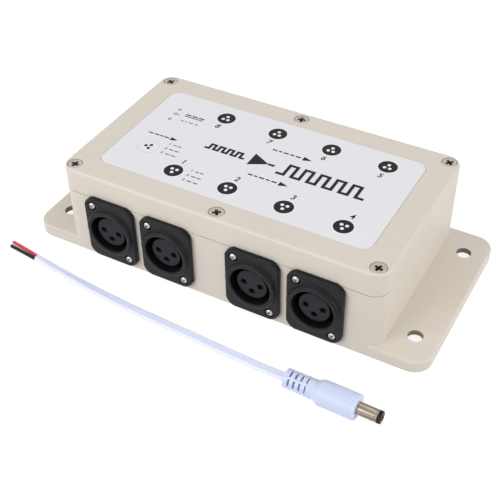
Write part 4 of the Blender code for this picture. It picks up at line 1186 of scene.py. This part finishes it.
ink.append(stroke(square_wave(-29.0, WAVE_Y, 2.3, 3.4, 4), 1.3))
ink.append(arrow_head(-5.4, WAVE_Y, 8.8, 4.6))
ink.append(bar(3.2, WAVE_Y, 3.2, 1.4))
ink.append(stroke(square_wave(8.8, WAVE_Y, 3.85, 7.6, 5), 1.55))
for x, y in OUT_ARROWS:
    ink += dashes(x, y, OUT_DASHES, 0.85)
    ink.append(arrow_head(x + 15.4, y, 4.4, 1.5))
for name, shapes, finish in (
    ("label_print", ink, label_ink),
    ("label_dots", dots, dot_white),
    ("label_faint_print", faint, faint_ink),
):
    show(name, gather(shapes), finish, "lid", sharp=20)
print("print in all:", len(ink) + len(dots) + len(faint), "shapes")

# %% [markdown]
# ## The three-pin sockets
#
# The outputs are panel sockets. A nearly square flange with softened corners carries a raised
# ring, and inside it a deep cup surrounds a round core with three holes. The flange is lofted,
# the ring and cup are turned, and the two are joined and bored. All eight share one mesh, because
# eight links to one mesh look the same as eight copies and stay light.

# %% The socket's shell
FLANGE_THICK = 0.0022
FLANGE_WIDTH, FLANGE_HEIGHT, FLANGE_CORNER = 0.026, 0.033, 0.0042
# The flange's corners are arcs that are pressed a little towards their chords
CORNER_FLAT = 0.35
RING_HEIGHT = 0.0014
RING_TOP = FLANGE_THICK + RING_HEIGHT
RING_FOOT = 0.0011
RING_FOOT_RADIUS, RING_SIDE_RADIUS, RING_RIM_RADIUS = 0.0128, 0.0122, 0.0117
CUP_DEPTH = 0.018
CUP_RADIUS = 0.0096
SEAT_RADIUS, SEAT_EDGE, SEAT_CUT_TO = 0.0022, 0.00018, 0.006
MOUTH_EDGE = 0.0005
# The ring's side and a recess's edge start this little off the flange's face
FACE_OFFSET = 0.00005

flange_outline = drawn_in(FLANGE_WIDTH, FLANGE_HEIGHT, FLANGE_CORNER, steps=8, flat=CORNER_FLAT)


def screw_seat():
    """A cutter for a flange screw: its hole, its recess and the recess's soft edge."""
    profile = (
        (0, -PAST),
        (FLANGE_SCREW_RADIUS + SEAT_GAP, -PAST),
        (FLANGE_SCREW_RADIUS + SEAT_GAP, RING_FOOT),
        (SEAT_RADIUS, RING_FOOT),
        (SEAT_RADIUS, FLANGE_THICK - 0.00012),
        (SEAT_RADIUS + SEAT_EDGE, FLANGE_THICK + FACE_OFFSET),
        (SEAT_RADIUS + SEAT_EDGE, SEAT_CUT_TO),
        (0, SEAT_CUT_TO),
    )
    return turned(profile, 32)


def make_shell(cup_radius):
    body = loft(pad_levels(flange_outline, 0, FLANGE_THICK, 0.0001, 0.0007))
    ring_profile = (
        (0, -CUP_DEPTH, 0),
        (SHELL_RADIUS, -CUP_DEPTH, 0.0004),
        (SHELL_RADIUS, RING_FOOT, 0),
        (RING_FOOT_RADIUS, RING_FOOT, 0),
        (RING_FOOT_RADIUS, FLANGE_THICK - FACE_OFFSET, 0),
        (RING_SIDE_RADIUS, FLANGE_THICK + FACE_OFFSET, 0.0004),
        (RING_RIM_RADIUS, RING_TOP, 0.0011),
        (cup_radius, RING_TOP, 0),
        (0, RING_TOP, 0),
    )
    body = joined(body, soft_turned(ring_profile, 0.0003, 72))
    cup_profile = (
        (0, -CUP_DEPTH - PAST),
        (cup_radius, -CUP_DEPTH - PAST),
        (cup_radius, RING_TOP - MOUTH_EDGE),
        (cup_radius + 0.00012, RING_TOP - 0.00022),
        (cup_radius + MOUTH_EDGE, RING_TOP),
        (cup_radius + MOUTH_EDGE, RING_TOP + PAST),
        (0, RING_TOP + PAST),
    )
    seats = gather([moved(screw_seat(), *p) for p in FLANGE_SCREWS])
    return cut(body, turned(cup_profile, 72), seats)


output_shell = make_shell(CUP_RADIUS)
print("shell faces:", len(output_shell.polygons))

# %% The socket's core and contacts
CORE_RADIUS = 0.0073
CORE_FACE = RING_TOP - 0.002
CORE_BACK = 0.005
PINS = ((-0.004, 0), (0.004, 0), (0, -0.004))
PIN_HOLE_RADIUS, PIN_HOLE_DEPTH, PIN_HOLE_EDGE = 0.0014, 0.012, 0.0003
TAIL_RADIUS, TAIL_TURN = 0.0005, 0.0008
TAIL_RUN = 0.022
TAIL_PAST_BOARD = 0.0012
BOARD_BOTTOM = 0.0075


def make_core():
    core_profile = (
        (0, -CUP_DEPTH, 0),
        (CUP_RADIUS - SEAT_GAP, -CUP_DEPTH, 0),
        (CUP_RADIUS - SEAT_GAP, -CUP_DEPTH + CORE_BACK),
        (CORE_RADIUS, -CUP_DEPTH + CORE_BACK),
        (CORE_RADIUS, CORE_FACE, 0.0004),
        (0, CORE_FACE, 0),
    )
    hole_profile = (
        (0, CORE_FACE - PIN_HOLE_DEPTH),
        (PIN_HOLE_RADIUS, CORE_FACE - PIN_HOLE_DEPTH),
        (PIN_HOLE_RADIUS, CORE_FACE - PIN_HOLE_EDGE),
        (PIN_HOLE_RADIUS + PIN_HOLE_EDGE, CORE_FACE),
        (PIN_HOLE_RADIUS + PIN_HOLE_EDGE, CORE_FACE + PAST),
        (0, CORE_FACE + PAST),
    )
    hole = turned(hole_profile, 28)
    return cut(soft_turned(core_profile, 0.0003), gather([moved(hole, *p) for p in PINS]))


def tail(x, y, height):
    """A contact's tail, back from the core and then down through the board."""
    foot = BOARD_BOTTOM - TAIL_PAST_BOARD - height
    corner = Vector((x, y, -TAIL_RUN))
    before = corner + Vector((0, 0, TAIL_TURN))
    after = corner + Vector((0, -TAIL_TURN if foot < y else TAIL_TURN, 0))
    path = [Vector((x, y, -CUP_DEPTH + INSIDE)), *bend(before, corner, after, 5)]
    return swept(path + [Vector((x, foot, -TAIL_RUN))], circle(TAIL_RADIUS, 12))


def make_contacts(height):
    """Three sprung tubes inside the core's holes, each with its tail."""
    sleeve_profile = (
        (0.00105, CORE_FACE - 0.0115),
        (0.00135, CORE_FACE - 0.0115),
        (0.00135, CORE_FACE - 0.0046),
        (0.00112, CORE_FACE - 0.0044),
    )
    sleeve = turned(sleeve_profile, 20)
    made = []
    for x, y in PINS:
        made += [moved(sleeve, x, y), tail(x, y, height)]
    return gather(made)


output_core = make_core()
output_contacts = make_contacts(SOCKET_HEIGHT)
print("core faces:", len(output_core.polygons), "contact faces:", len(output_contacts.polygons))

# %% [markdown]
# The flange screws are small plated pan heads that sit in a shallow recess. Their domed heads are
# the brightest spots on the black sockets, so the dome is a true arc and not a chamfer, and the
# cross recess in it stays dark.

# %% The flange screws
PAN_RADIUS = 0.00175
PAN_SEAT = 0.0014
PAN_HEIGHT = 0.0013
PAN_RIM = 0.0003
DOME_STEPS = 7


def make_pan_screw():
    dome = []
    for k in range(DOME_STEPS):
        a = math.pi / 2 * k / DOME_STEPS
        rise = PAN_RIM + (PAN_HEIGHT - PAN_RIM) * math.sin(a)
        dome.append((PAN_RADIUS * math.cos(a), PAN_SEAT + rise))
    profile = [
        (0, PAN_SEAT - 0.008),
        (0.0009, PAN_SEAT - 0.008),
        *thread(0.00125, PAN_SEAT - 0.0075, PAN_SEAT - 0.0005, 0.0005, 0.0002),
        (0.00105, PAN_SEAT),
        (PAN_RADIUS, PAN_SEAT),
        *dome,
        (0, PAN_SEAT + PAN_HEIGHT),
    ]
    recess = moved(cross_cutter(0.0010, 0.00062, 0.0010), z=PAN_SEAT + PAN_HEIGHT - NEAR)
    return cut(turned(profile, 36), recess)


pan_screw = make_pan_screw()
print("pan screw faces:", len(pan_screw.polygons))


# %% Place the eight outputs
# Each screw stops at its own angle, which its number and its side set
PAN_TURN, PAN_TURN_STEP, PAN_TURN_ASIDE = 0.3, 0.9, 200


def show_pan_screw(name, node, at, place, turn):
    stand = at @ spot(*place) @ turn_about("Z", turn)
    show(name, pan_screw, bright_steel, "case", [node], stand)


for number, at in OUTPUTS:
    shell_node, core_node = [f"output_shell_{number}"], [f"output_insert_{number}"]
    show(f"socket_shell_{number}", output_shell, socket_black, "case", shell_node, at)
    show(f"socket_core_{number}", output_core, insert_black, "case", core_node, at)
    show(f"socket_contacts_{number}", output_contacts, contact_brass, "case", at=at)
    for side, p in zip(("upper", "lower"), FLANGE_SCREWS):
        own_turn = PAN_TURN + number * PAN_TURN_STEP + p[0] * PAN_TURN_ASIDE
        show_pan_screw(f"socket_screw_{side}_{number}", f"output_screw_{side}_{number}", at, p, own_turn)

# %% [markdown]
# The signal input is the other half of the pair: a narrower cup with three solid pins. Its flange
# lies on its side, because upright it would run into the ear below it. The pins keep the upright
# triangle, two above one.

# %% The signal input
INPUT_CUP = 0.0081
INPUT_BACK = 0.006
INPUT_PIN_RADIUS = 0.0012
PIN_TIP = RING_TOP - 0.0035

input_turned = INPUT_AT @ turn_about("Z")
input_shell = make_shell(INPUT_CUP)
show("input_flange", input_shell, socket_black, "case", ["input_shell"], input_turned)
disc_profile = (
    (0, -CUP_DEPTH, 0),
    (INPUT_CUP - 0.0002, -CUP_DEPTH, 0),
    (INPUT_CUP - 0.0002, -CUP_DEPTH + INPUT_BACK),
    (0, -CUP_DEPTH + INPUT_BACK, 0),
)
input_disc = soft_turned(disc_profile, 0.0003, 56)
show("input_disc", input_disc, insert_black, "case", ["input_insert"], INPUT_AT)


def solid_pin(radius, bottom, top, tip):
    """A round contact pin with a blunt tip."""
    profile = ((0, bottom, 0), (radius, bottom, 0), (radius, top, tip), (0, top, 0))
    return soft_turned(profile, tip, 28, 6)


pin = solid_pin(INPUT_PIN_RADIUS, -CUP_DEPTH + 0.002, PIN_TIP, 0.0007)
pins = gather([moved(pin, x, y) for x, y in PINS] + [tail(x, y, INPUT_HEIGHT) for x, y in PINS])
show("input_pins", pins, contact_brass, "case", at=INPUT_AT)
for side, p in zip(("front", "rear"), FLANGE_SCREWS):
    show_pan_screw(f"input_flange_screw_{side}", f"input_screw_{side}", input_turned, p, 0)

# %% [markdown]
# The power jack is a small round one with a bezel outside, a nut inside and a pin in its bore. It
# is turned in one go from a profile that goes up the outside and back down the bore.

# %% The power jack
JACK_BORE = 0.0032
JACK_DEPTH = 0.0165
JACK_BEZEL_RADIUS, JACK_BEZEL_THICK = 0.007, 0.002
JACK_BORE_DEPTH = 0.008
NUT_CHAMFER_RADIUS, NUT_RADIUS, NUT_BORE = 0.0074, 0.0078, 0.0055
LUG_X, LUG_Z = 0.0035, -0.0190

jack_profile = (
    (0, -JACK_DEPTH, 0),
    (JACK_RADIUS, -JACK_DEPTH, 0.0004),
    (JACK_RADIUS, 0, 0),
    (JACK_BEZEL_RADIUS, 0, 0.0001),
    (JACK_BEZEL_RADIUS, JACK_BEZEL_THICK, 0.0008),
    (JACK_BORE, JACK_BEZEL_THICK, 0.0004),
    (JACK_BORE, -JACK_BORE_DEPTH, 0),
    (0, -JACK_BORE_DEPTH, 0),
)
jack_mesh = soft_turned(jack_profile, 0.0003, 56)
show("jack_moulding", jack_mesh, socket_black, "case", ["jack_body"], JACK_AT)
jack_pin = solid_pin(0.001, -0.0085, 0.001, 0.0008)
show("jack_pin", jack_pin, contact_brass, "case", ["jack_centre_pin"], JACK_AT)
nut_levels = (
    (NUT_CHAMFER_RADIUS, -0.0061),
    (NUT_RADIUS, -0.0058),
    (NUT_RADIUS, -0.0039),
    (NUT_CHAMFER_RADIUS, -0.0036),
)
nut = loft([(circle(radius, 6), z) for radius, z in nut_levels])
nut = cut(nut, rod(NUT_BORE, -0.01, 0.0, sides=48))
show("jack_ring_nut", nut, bright_steel, "case", ["jack_nut"], JACK_AT)
lugs = []
for x in (-LUG_X, LUG_X):
    strip = box((x - 0.00025, -0.001, -0.0205), (x + 0.00025, 0.001, -0.016))
    eye = shifted(rod(0.0005, -PAST, PAST, sides=16), spot(x, 0, LUG_Z) @ turn_about("Y"))
    lugs.append(cut(strip, eye))
show("jack_lugs", gather(lugs), tinned, "case", at=JACK_AT)

# %% [markdown]
# ## The circuit board
#
# The board is only seen when the lid is lifted. It carries a line driver for each output, a
# receiver for the input, two capacitors and a regulator on a heat sink. Its green lacquer is a
# finish of its own: thin copper tracks lie under it and make it lighter where they run.


# %% The board's finish
def board_lacquer():
    made, tree, shader, space = start_finish("board_lacquer")
    tracks = tree.nodes.new("ShaderNodeTexBrick")
    tracks.inputs["Scale"].default_value = 1
    tracks.inputs["Brick Width"].default_value = 0.011
    tracks.inputs["Row Height"].default_value = 0.0042
    tracks.inputs["Mortar Size"].default_value = 0.00035
    tracks.inputs["Mortar Smooth"].default_value = 0.1
    tracks.inputs["Color1"].default_value = (0, 0, 0, 1)
    tracks.inputs["Color2"].default_value = (0, 0, 0, 1)
    tracks.inputs["Mortar"].default_value = (1, 1, 1, 1)
    tree.links.new(space, tracks.inputs["Vector"])
    tone = two_tones(tree, tracks.outputs["Color"], (0.012, 0.10, 0.035), (0.03, 0.20, 0.07))
    tree.links.new(tone, shader.inputs["Base Color"])
    tree.links.new(between_two(tree, noise(tree, space, 0.003), 0.25, 0.38), shader.inputs["Roughness"])
    raise_grain(tree, shader, tracks.outputs["Color"], 4e-5, 0.6)
    return made


board_finish = board_lacquer()

# %% The bare board with its pads
BOARD_TOP = 0.0091
BOARD_LEFT, BOARD_RIGHT, BOARD_HALF_WIDTH = -0.060, 0.066, 0.026
TAIL_HOLE_RADIUS = 0.00065
# The heights that the board's holes are cut between
DRILL_FROM, DRILL_TO = 0.005, 0.012
# Where the contacts' tails go through the board
tail_spots = []
for at in [at for _, at in OUTPUTS] + [INPUT_AT]:
    tail_spots += [tuple((at @ Vector((x, 0, -TAIL_RUN)))[:2]) for x, _ in PINS]


def on_board(mesh, x=0.0, y=0.0):
    """Puts a mesh that was made at the origin on the board's upper face."""
    return moved(mesh, x, y, BOARD_TOP)


board_edge = corner_outline(BOARD_RIGHT - BOARD_LEFT, 2 * BOARD_HALF_WIDTH, 0.001, 4)
board = moved(prism(board_edge, BOARD_BOTTOM, BOARD_TOP), (BOARD_LEFT + BOARD_RIGHT) / 2)
holes = [rod(TAIL_HOLE_RADIUS, DRILL_FROM, DRILL_TO, p, 16) for p in tail_spots]
holes += [rod(POST_HOLE_RADIUS, DRILL_FROM, DRILL_TO, p, 24) for p in POST_PLACES]
board = cut(board, gather(holes))
show("board_plate", board, board_finish, "case", ["circuit_board"])
cone = turned(((0.0005, -0.0002), (0.0011, 0.00002), (0.0009, 0.0002), (0.00055, 0.0008)), 16)
collar = tube(0.0017, 0.0030, -0.0001, 0.00004, 32)
solder = [on_board(cone, *p) for p in tail_spots] + [on_board(collar, *p) for p in POST_PLACES]
print("holes in the board:", len(holes))

# %% Chips with their legs
CHIP_LENGTH, CHIP_WIDTH, CHIP_CORNER, CHIP_EDGE = 0.0098, 0.0064, 0.0003, 0.0004
CHIP_BOTTOM, CHIP_TOP = 0.0004, 0.0034
NOTCH_RADIUS, NOTCH_DEPTH, NOTCH_AT = 0.0006, 0.0003, (-0.0037, -0.0019)
CHIP_ROW, CHIP_SHIFT = 0.013, 0.006
RECEIVER_AT = (-0.040, -0.002)
LEG_PITCH = 0.00254
LEG_HALF_WIDTH, LEG_HALF_THICK = 0.0006, 0.00015
# A leg's line: how far out from the chip's middle, and how high above the board
LEG_LINE = ((0.0030, 0.0018), (0.0040, 0.0018), (0.0043, 0.0014), (0.0043, -0.0006))


def block(length, width, corner, bottom, top, edge):
    """A moulded block with narrow chamfers."""
    return loft(pad_levels(drawn_in(length, width, corner, corner, 2), bottom, top, edge, edge, 1))


def make_chip():
    """An eight-leg surface chip: its body, its legs and the solder at their feet."""
    body = block(CHIP_LENGTH, CHIP_WIDTH, CHIP_CORNER, CHIP_BOTTOM, CHIP_TOP, CHIP_EDGE)
    body = cut(body, rod(NOTCH_RADIUS, CHIP_TOP - NOTCH_DEPTH, CHIP_TOP + PAST, NOTCH_AT, 20))
    w, h = LEG_HALF_WIDTH, LEG_HALF_THICK
    bead = turned(((0.0003, -0.0001), (0.0009, 0.00002), (0.0004, 0.0004)), 12)
    legs, beads = [], []
    for x in [LEG_PITCH * (k - 1.5) for k in range(4)]:
        for side in (-1, 1):
            path = [Vector((x, side * out, z)) for out, z in LEG_LINE]
            legs.append(swept(path, [(w, h), (-w, h), (-w, -h), (w, -h)], Vector((0, 0.001, 1))))
            beads.append(moved(bead, x, side * LEG_LINE[-1][0]))
    return body, gather(legs), gather(beads)


chip_body, chip_legs, chip_beads = make_chip()
chip_places = [(x + CHIP_SHIFT, side * CHIP_ROW) for x in SOCKET_X for side in (-1, 1)] + [RECEIVER_AT]
show("board_chips", gather([on_board(chip_body, *p) for p in chip_places]), chip_epoxy, "case")
show("board_chip_legs", gather([on_board(chip_legs, *p) for p in chip_places]), tinned, "case")
solder += [on_board(chip_beads, *p) for p in chip_places]
print("chips:", len(chip_places))

# %% Capacitors
CAN_PLACES = (-0.004, 0.012)
CAN_RADIUS, CAN_HEIGHT, CAN_RIM = 0.005, 0.013, 0.0007
SCORE_HALF_LENGTH, SCORE_HALF_WIDTH, SCORE_DEPTH = 0.003, 0.00015, 0.0003

can_profile = (
    (0, 0, 0),
    (CAN_RADIUS, 0),
    (CAN_RADIUS, 0.0012),
    (CAN_RADIUS - 0.0003, 0.0016),
    (CAN_RADIUS, 0.0020),
    (CAN_RADIUS, CAN_HEIGHT, 0.0006),
    (CAN_RADIUS - CAN_RIM, CAN_HEIGHT, 0.0001),
    (CAN_RADIUS - CAN_RIM, CAN_HEIGHT - SCORE_DEPTH, 0),
    (0, CAN_HEIGHT - SCORE_DEPTH, 0),
)
can = soft_turned(can_profile, 0.0003, 40, 3)
score_low = (-SCORE_HALF_LENGTH, -SCORE_HALF_WIDTH, CAN_HEIGHT - SCORE_DEPTH)
score = box(score_low, (SCORE_HALF_LENGTH, SCORE_HALF_WIDTH, CAN_HEIGHT + PAST))
can_top = rod(CAN_RADIUS - CAN_RIM - 0.00005, CAN_HEIGHT - 0.001, CAN_HEIGHT - 0.0001, sides=36)
can_top = cut(can_top, *[spun(score, a) for a in (0.4, 0.4 + math.pi / 2)])
show("board_capacitors", gather([on_board(can, x) for x in CAN_PLACES]), can_sleeve, "case")
show("board_capacitor_tops", gather([on_board(can_top, x) for x in CAN_PLACES]), sink_aluminium, "case")
print("capacitor faces:", len(can.polygons))

# %% The regulator and its heat sink
REGULATOR_X, REGULATOR_Y = 0.034, 0.0024
REGULATOR_LENGTH, REGULATOR_WIDTH, REGULATOR_CORNER, REGULATOR_EDGE = 0.010, 0.0042, 0.0004, 0.0003
REGULATOR_BOTTOM, REGULATOR_TOP = 0.003, 0.0115
TAB_FRONT, TAB_BACK, TAB_TOP = 0.0001, 0.0012, 0.015
TAB_HOLE_RADIUS, TAB_HOLE_HEIGHT = 0.0018, 0.0132
SINK_HALF_WIDTH, SINK_HEIGHT, SINK_PLATE = 0.008, 0.016, 0.002
FIN_COUNT, FIN_PITCH, FIN_THICK, FIN_REACH, FIN_INSIDE = 7, 0.0025, 0.001, 0.007, 0.0005

regulator_low_high = (REGULATOR_BOTTOM, REGULATOR_TOP, REGULATOR_EDGE)
regulator = block(REGULATOR_LENGTH, REGULATOR_WIDTH, REGULATOR_CORNER, *regulator_low_high)
show("board_regulator", on_board(regulator, REGULATOR_X, REGULATOR_Y), chip_epoxy, "case")
tab_hole = rod(TAB_HOLE_RADIUS, -2 * PAST, 2 * PAST, sides=28)
tab_hole = shifted(tab_hole, spot(0, 0, TAB_HOLE_HEIGHT) @ turn_about("X"))
tab_half = REGULATOR_LENGTH / 2
tab = box((-tab_half, TAB_FRONT, REGULATOR_BOTTOM), (tab_half, TAB_BACK, TAB_TOP))
tab = cut(tab, tab_hole)
leg = box((-0.0004, 0.0020, -0.001), (0.0004, 0.0026, 0.0035))
legs = [moved(leg, LEG_PITCH * k) for k in (-1, 0, 1)]
show("board_regulator_tab", on_board(gather([tab, *legs]), REGULATOR_X), tinned, "case")

sink = box((-SINK_HALF_WIDTH, -SINK_PLATE, 0), (SINK_HALF_WIDTH, 0, SINK_HEIGHT))
fins = []
for x in [FIN_PITCH * k - SINK_HALF_WIDTH for k in range(FIN_COUNT)]:
    fins.append(box((x, -FIN_REACH, 0), (x + FIN_THICK, FIN_INSIDE - SINK_PLATE, SINK_HEIGHT)))
sink = joined(sink, gather(fins))
show("board_heat_sink", on_board(sink, REGULATOR_X), sink_aluminium, "case")
show("board_solder", gather(solder), tinned, "case")
print("solder joints:", len(tail_spots) + 8 * len(chip_places))

# %% The board's screws and the supply wires
BOARD_SCREW_RADIUS, BOARD_SCREW_DEPTH, BOARD_HEAD_RADIUS = 0.0012, 0.0042, 0.0024
WIRE_RADIUS, WIRE_TURN, WIRE_STEPS = 0.0007, 0.0021, 18
LUG_END = -CASE_LENGTH / 2 + JACK_DEPTH + 0.004
PAD_X = -0.0565
WIRES = (("red", red_sleeve, 1, 0.0065), ("black", black_sleeve, -1, 0.003))

board_screw_profile = (
    (0, -BOARD_SCREW_DEPTH, 0),
    (BOARD_SCREW_RADIUS, -BOARD_SCREW_DEPTH, 0),
    (BOARD_SCREW_RADIUS, NEAR, 0),
    (BOARD_HEAD_RADIUS, NEAR, 0.0001),
    (BOARD_HEAD_RADIUS, 0.0011, 0.0006),
    (0, 0.0015, 0),
)
recess = moved(cross_cutter(0.0012, 0.0006, 0.0008), z=0.0014)
board_screw = cut(soft_turned(board_screw_profile, 0.0003, 36), recess)
for name, p in (("left", POST_PLACES[1]), ("right", POST_PLACES[2])):
    stand, node = spot(*p, BOARD_TOP), [f"board_screw_{name}"]
    show(f"board_fixing_{name}", board_screw, lid_screw_steel, "case", node, stand)
for colour, finish, side, pad_y in WIRES:
    start = Vector((LUG_END, JACK_Y + side * LUG_X, JACK_HEIGHT))
    end = Vector((PAD_X, pad_y, BOARD_TOP + 0.0002))
    out = start + Vector((WIRE_TURN, 0, 0))
    over = Vector((end.x, pad_y, JACK_HEIGHT - WIRE_TURN))
    wire = swept([start, *bend(out, over, end, WIRE_STEPS)], circle(WIRE_RADIUS, 16))
    node = [f"power_wire_{colour}"]
    show(f"supply_wire_{colour}", wire, finish, "case", node)

# %% [markdown]
# ## The studio
#
# The photograph is a cut-out on pure white. A floor that is lit to white would flood the object
# with light, so the floor keeps a plain pale colour for the light that it reflects, and adds some
# light of its own only where the camera sees it. What is left of the shadow stays visible. The
# world does the same: white to the camera and in reflections, dimmer as a lamp.


# %% Floor and world
def seen_share(tree, kinds):
    """1 for the rays named in kinds, and 0 for the rest."""
    rays = tree.nodes.new("ShaderNodeLightPath")
    total = rays.outputs[kinds[0]]
    for kind in kinds[1:]:
        most = tree.nodes.new("ShaderNodeMath")
        most.operation = "MAXIMUM"
        tree.links.new(total, most.inputs[0])
        tree.links.new(rays.outputs[kind], most.inputs[1])
        total = most.outputs[0]
    return total


SEEN = ("Is Camera Ray", "Is Glossy Ray", "Is Transmission Ray")
FLOOR_GLOW = 0.88
FLOOR_PLAIN, FLOOR_SEEN = 0.72, 0.24
FLOOR_SIZE = 6
WORLD_LIGHT = 0.62

floor_paper = bpy.data.materials.new("floor_paper")
floor_paper.use_nodes = True
tree = floor_paper.node_tree
tree.nodes.clear()
output = tree.nodes.new("ShaderNodeOutputMaterial")
plain = tree.nodes.new("ShaderNodeBsdfDiffuse")
plain.inputs["Color"].default_value = (FLOOR_PLAIN, FLOOR_PLAIN, FLOOR_PLAIN, 1)
shown = tree.nodes.new("ShaderNodeBsdfDiffuse")
shown.inputs["Color"].default_value = (FLOOR_SEEN, FLOOR_SEEN, FLOOR_SEEN, 1)
glow = tree.nodes.new("ShaderNodeEmission")
glow.inputs["Strength"].default_value = FLOOR_GLOW
both = tree.nodes.new("ShaderNodeAddShader")
tree.links.new(shown.outputs[0], both.inputs[0])
tree.links.new(glow.outputs[0], both.inputs[1])
choose = tree.nodes.new("ShaderNodeMixShader")
tree.links.new(seen_share(tree, SEEN), choose.inputs[0])
tree.links.new(plain.outputs[0], choose.inputs[1])
tree.links.new(both.outputs[0], choose.inputs[2])
tree.links.new(choose.outputs[0], output.inputs["Surface"])
floor = bpy.data.objects.new("floor", prism(corner_outline(FLOOR_SIZE, FLOOR_SIZE, 0.5), -0.01, 0))
floor.data.materials.append(floor_paper)
scene.collection.objects.link(floor)

world = bpy.data.worlds.new("studio")
scene.world = world
world.use_nodes = True
tree = world.node_tree
sky = tree.nodes["Background"]
strength = tree.nodes.new("ShaderNodeMapRange")
strength.inputs["To Min"].default_value = WORLD_LIGHT
strength.inputs["To Max"].default_value = 1.0
tree.links.new(seen_share(tree, SEEN), strength.inputs["Value"])
tree.links.new(strength.outputs["Result"], sky.inputs["Strength"])
sky.inputs["Color"].default_value = (1, 1, 1, 1)
scene.view_settings.view_transform = "Standard"


# %% Soft lamps
LAMPS_AIM_AT = Vector((0, 0, 0.02))
# Name, place, size and power of each lamp
LAMPS = (
    ("key_lamp", (-0.45, -0.85, 0.5), 0.8, 4.7),
    ("side_lamp", (0.95, 0.10, 0.35), 0.7, 3.0),
    ("top_lamp", (0.1, 0.1, 1.0), 0.9, 0.75),
)

for name, place, size, power in LAMPS:
    light = bpy.data.lights.new(name, "AREA")
    light.shape = "DISK"
    light.size = size
    light.energy = power
    lamp = bpy.data.objects.new(name, light)
    scene.collection.objects.link(lamp)
    away = Vector(place) - LAMPS_AIM_AT
    lamp.matrix_world = Matrix.Translation(place) @ away.to_track_quat("Z", "Y").to_matrix().to_4x4()
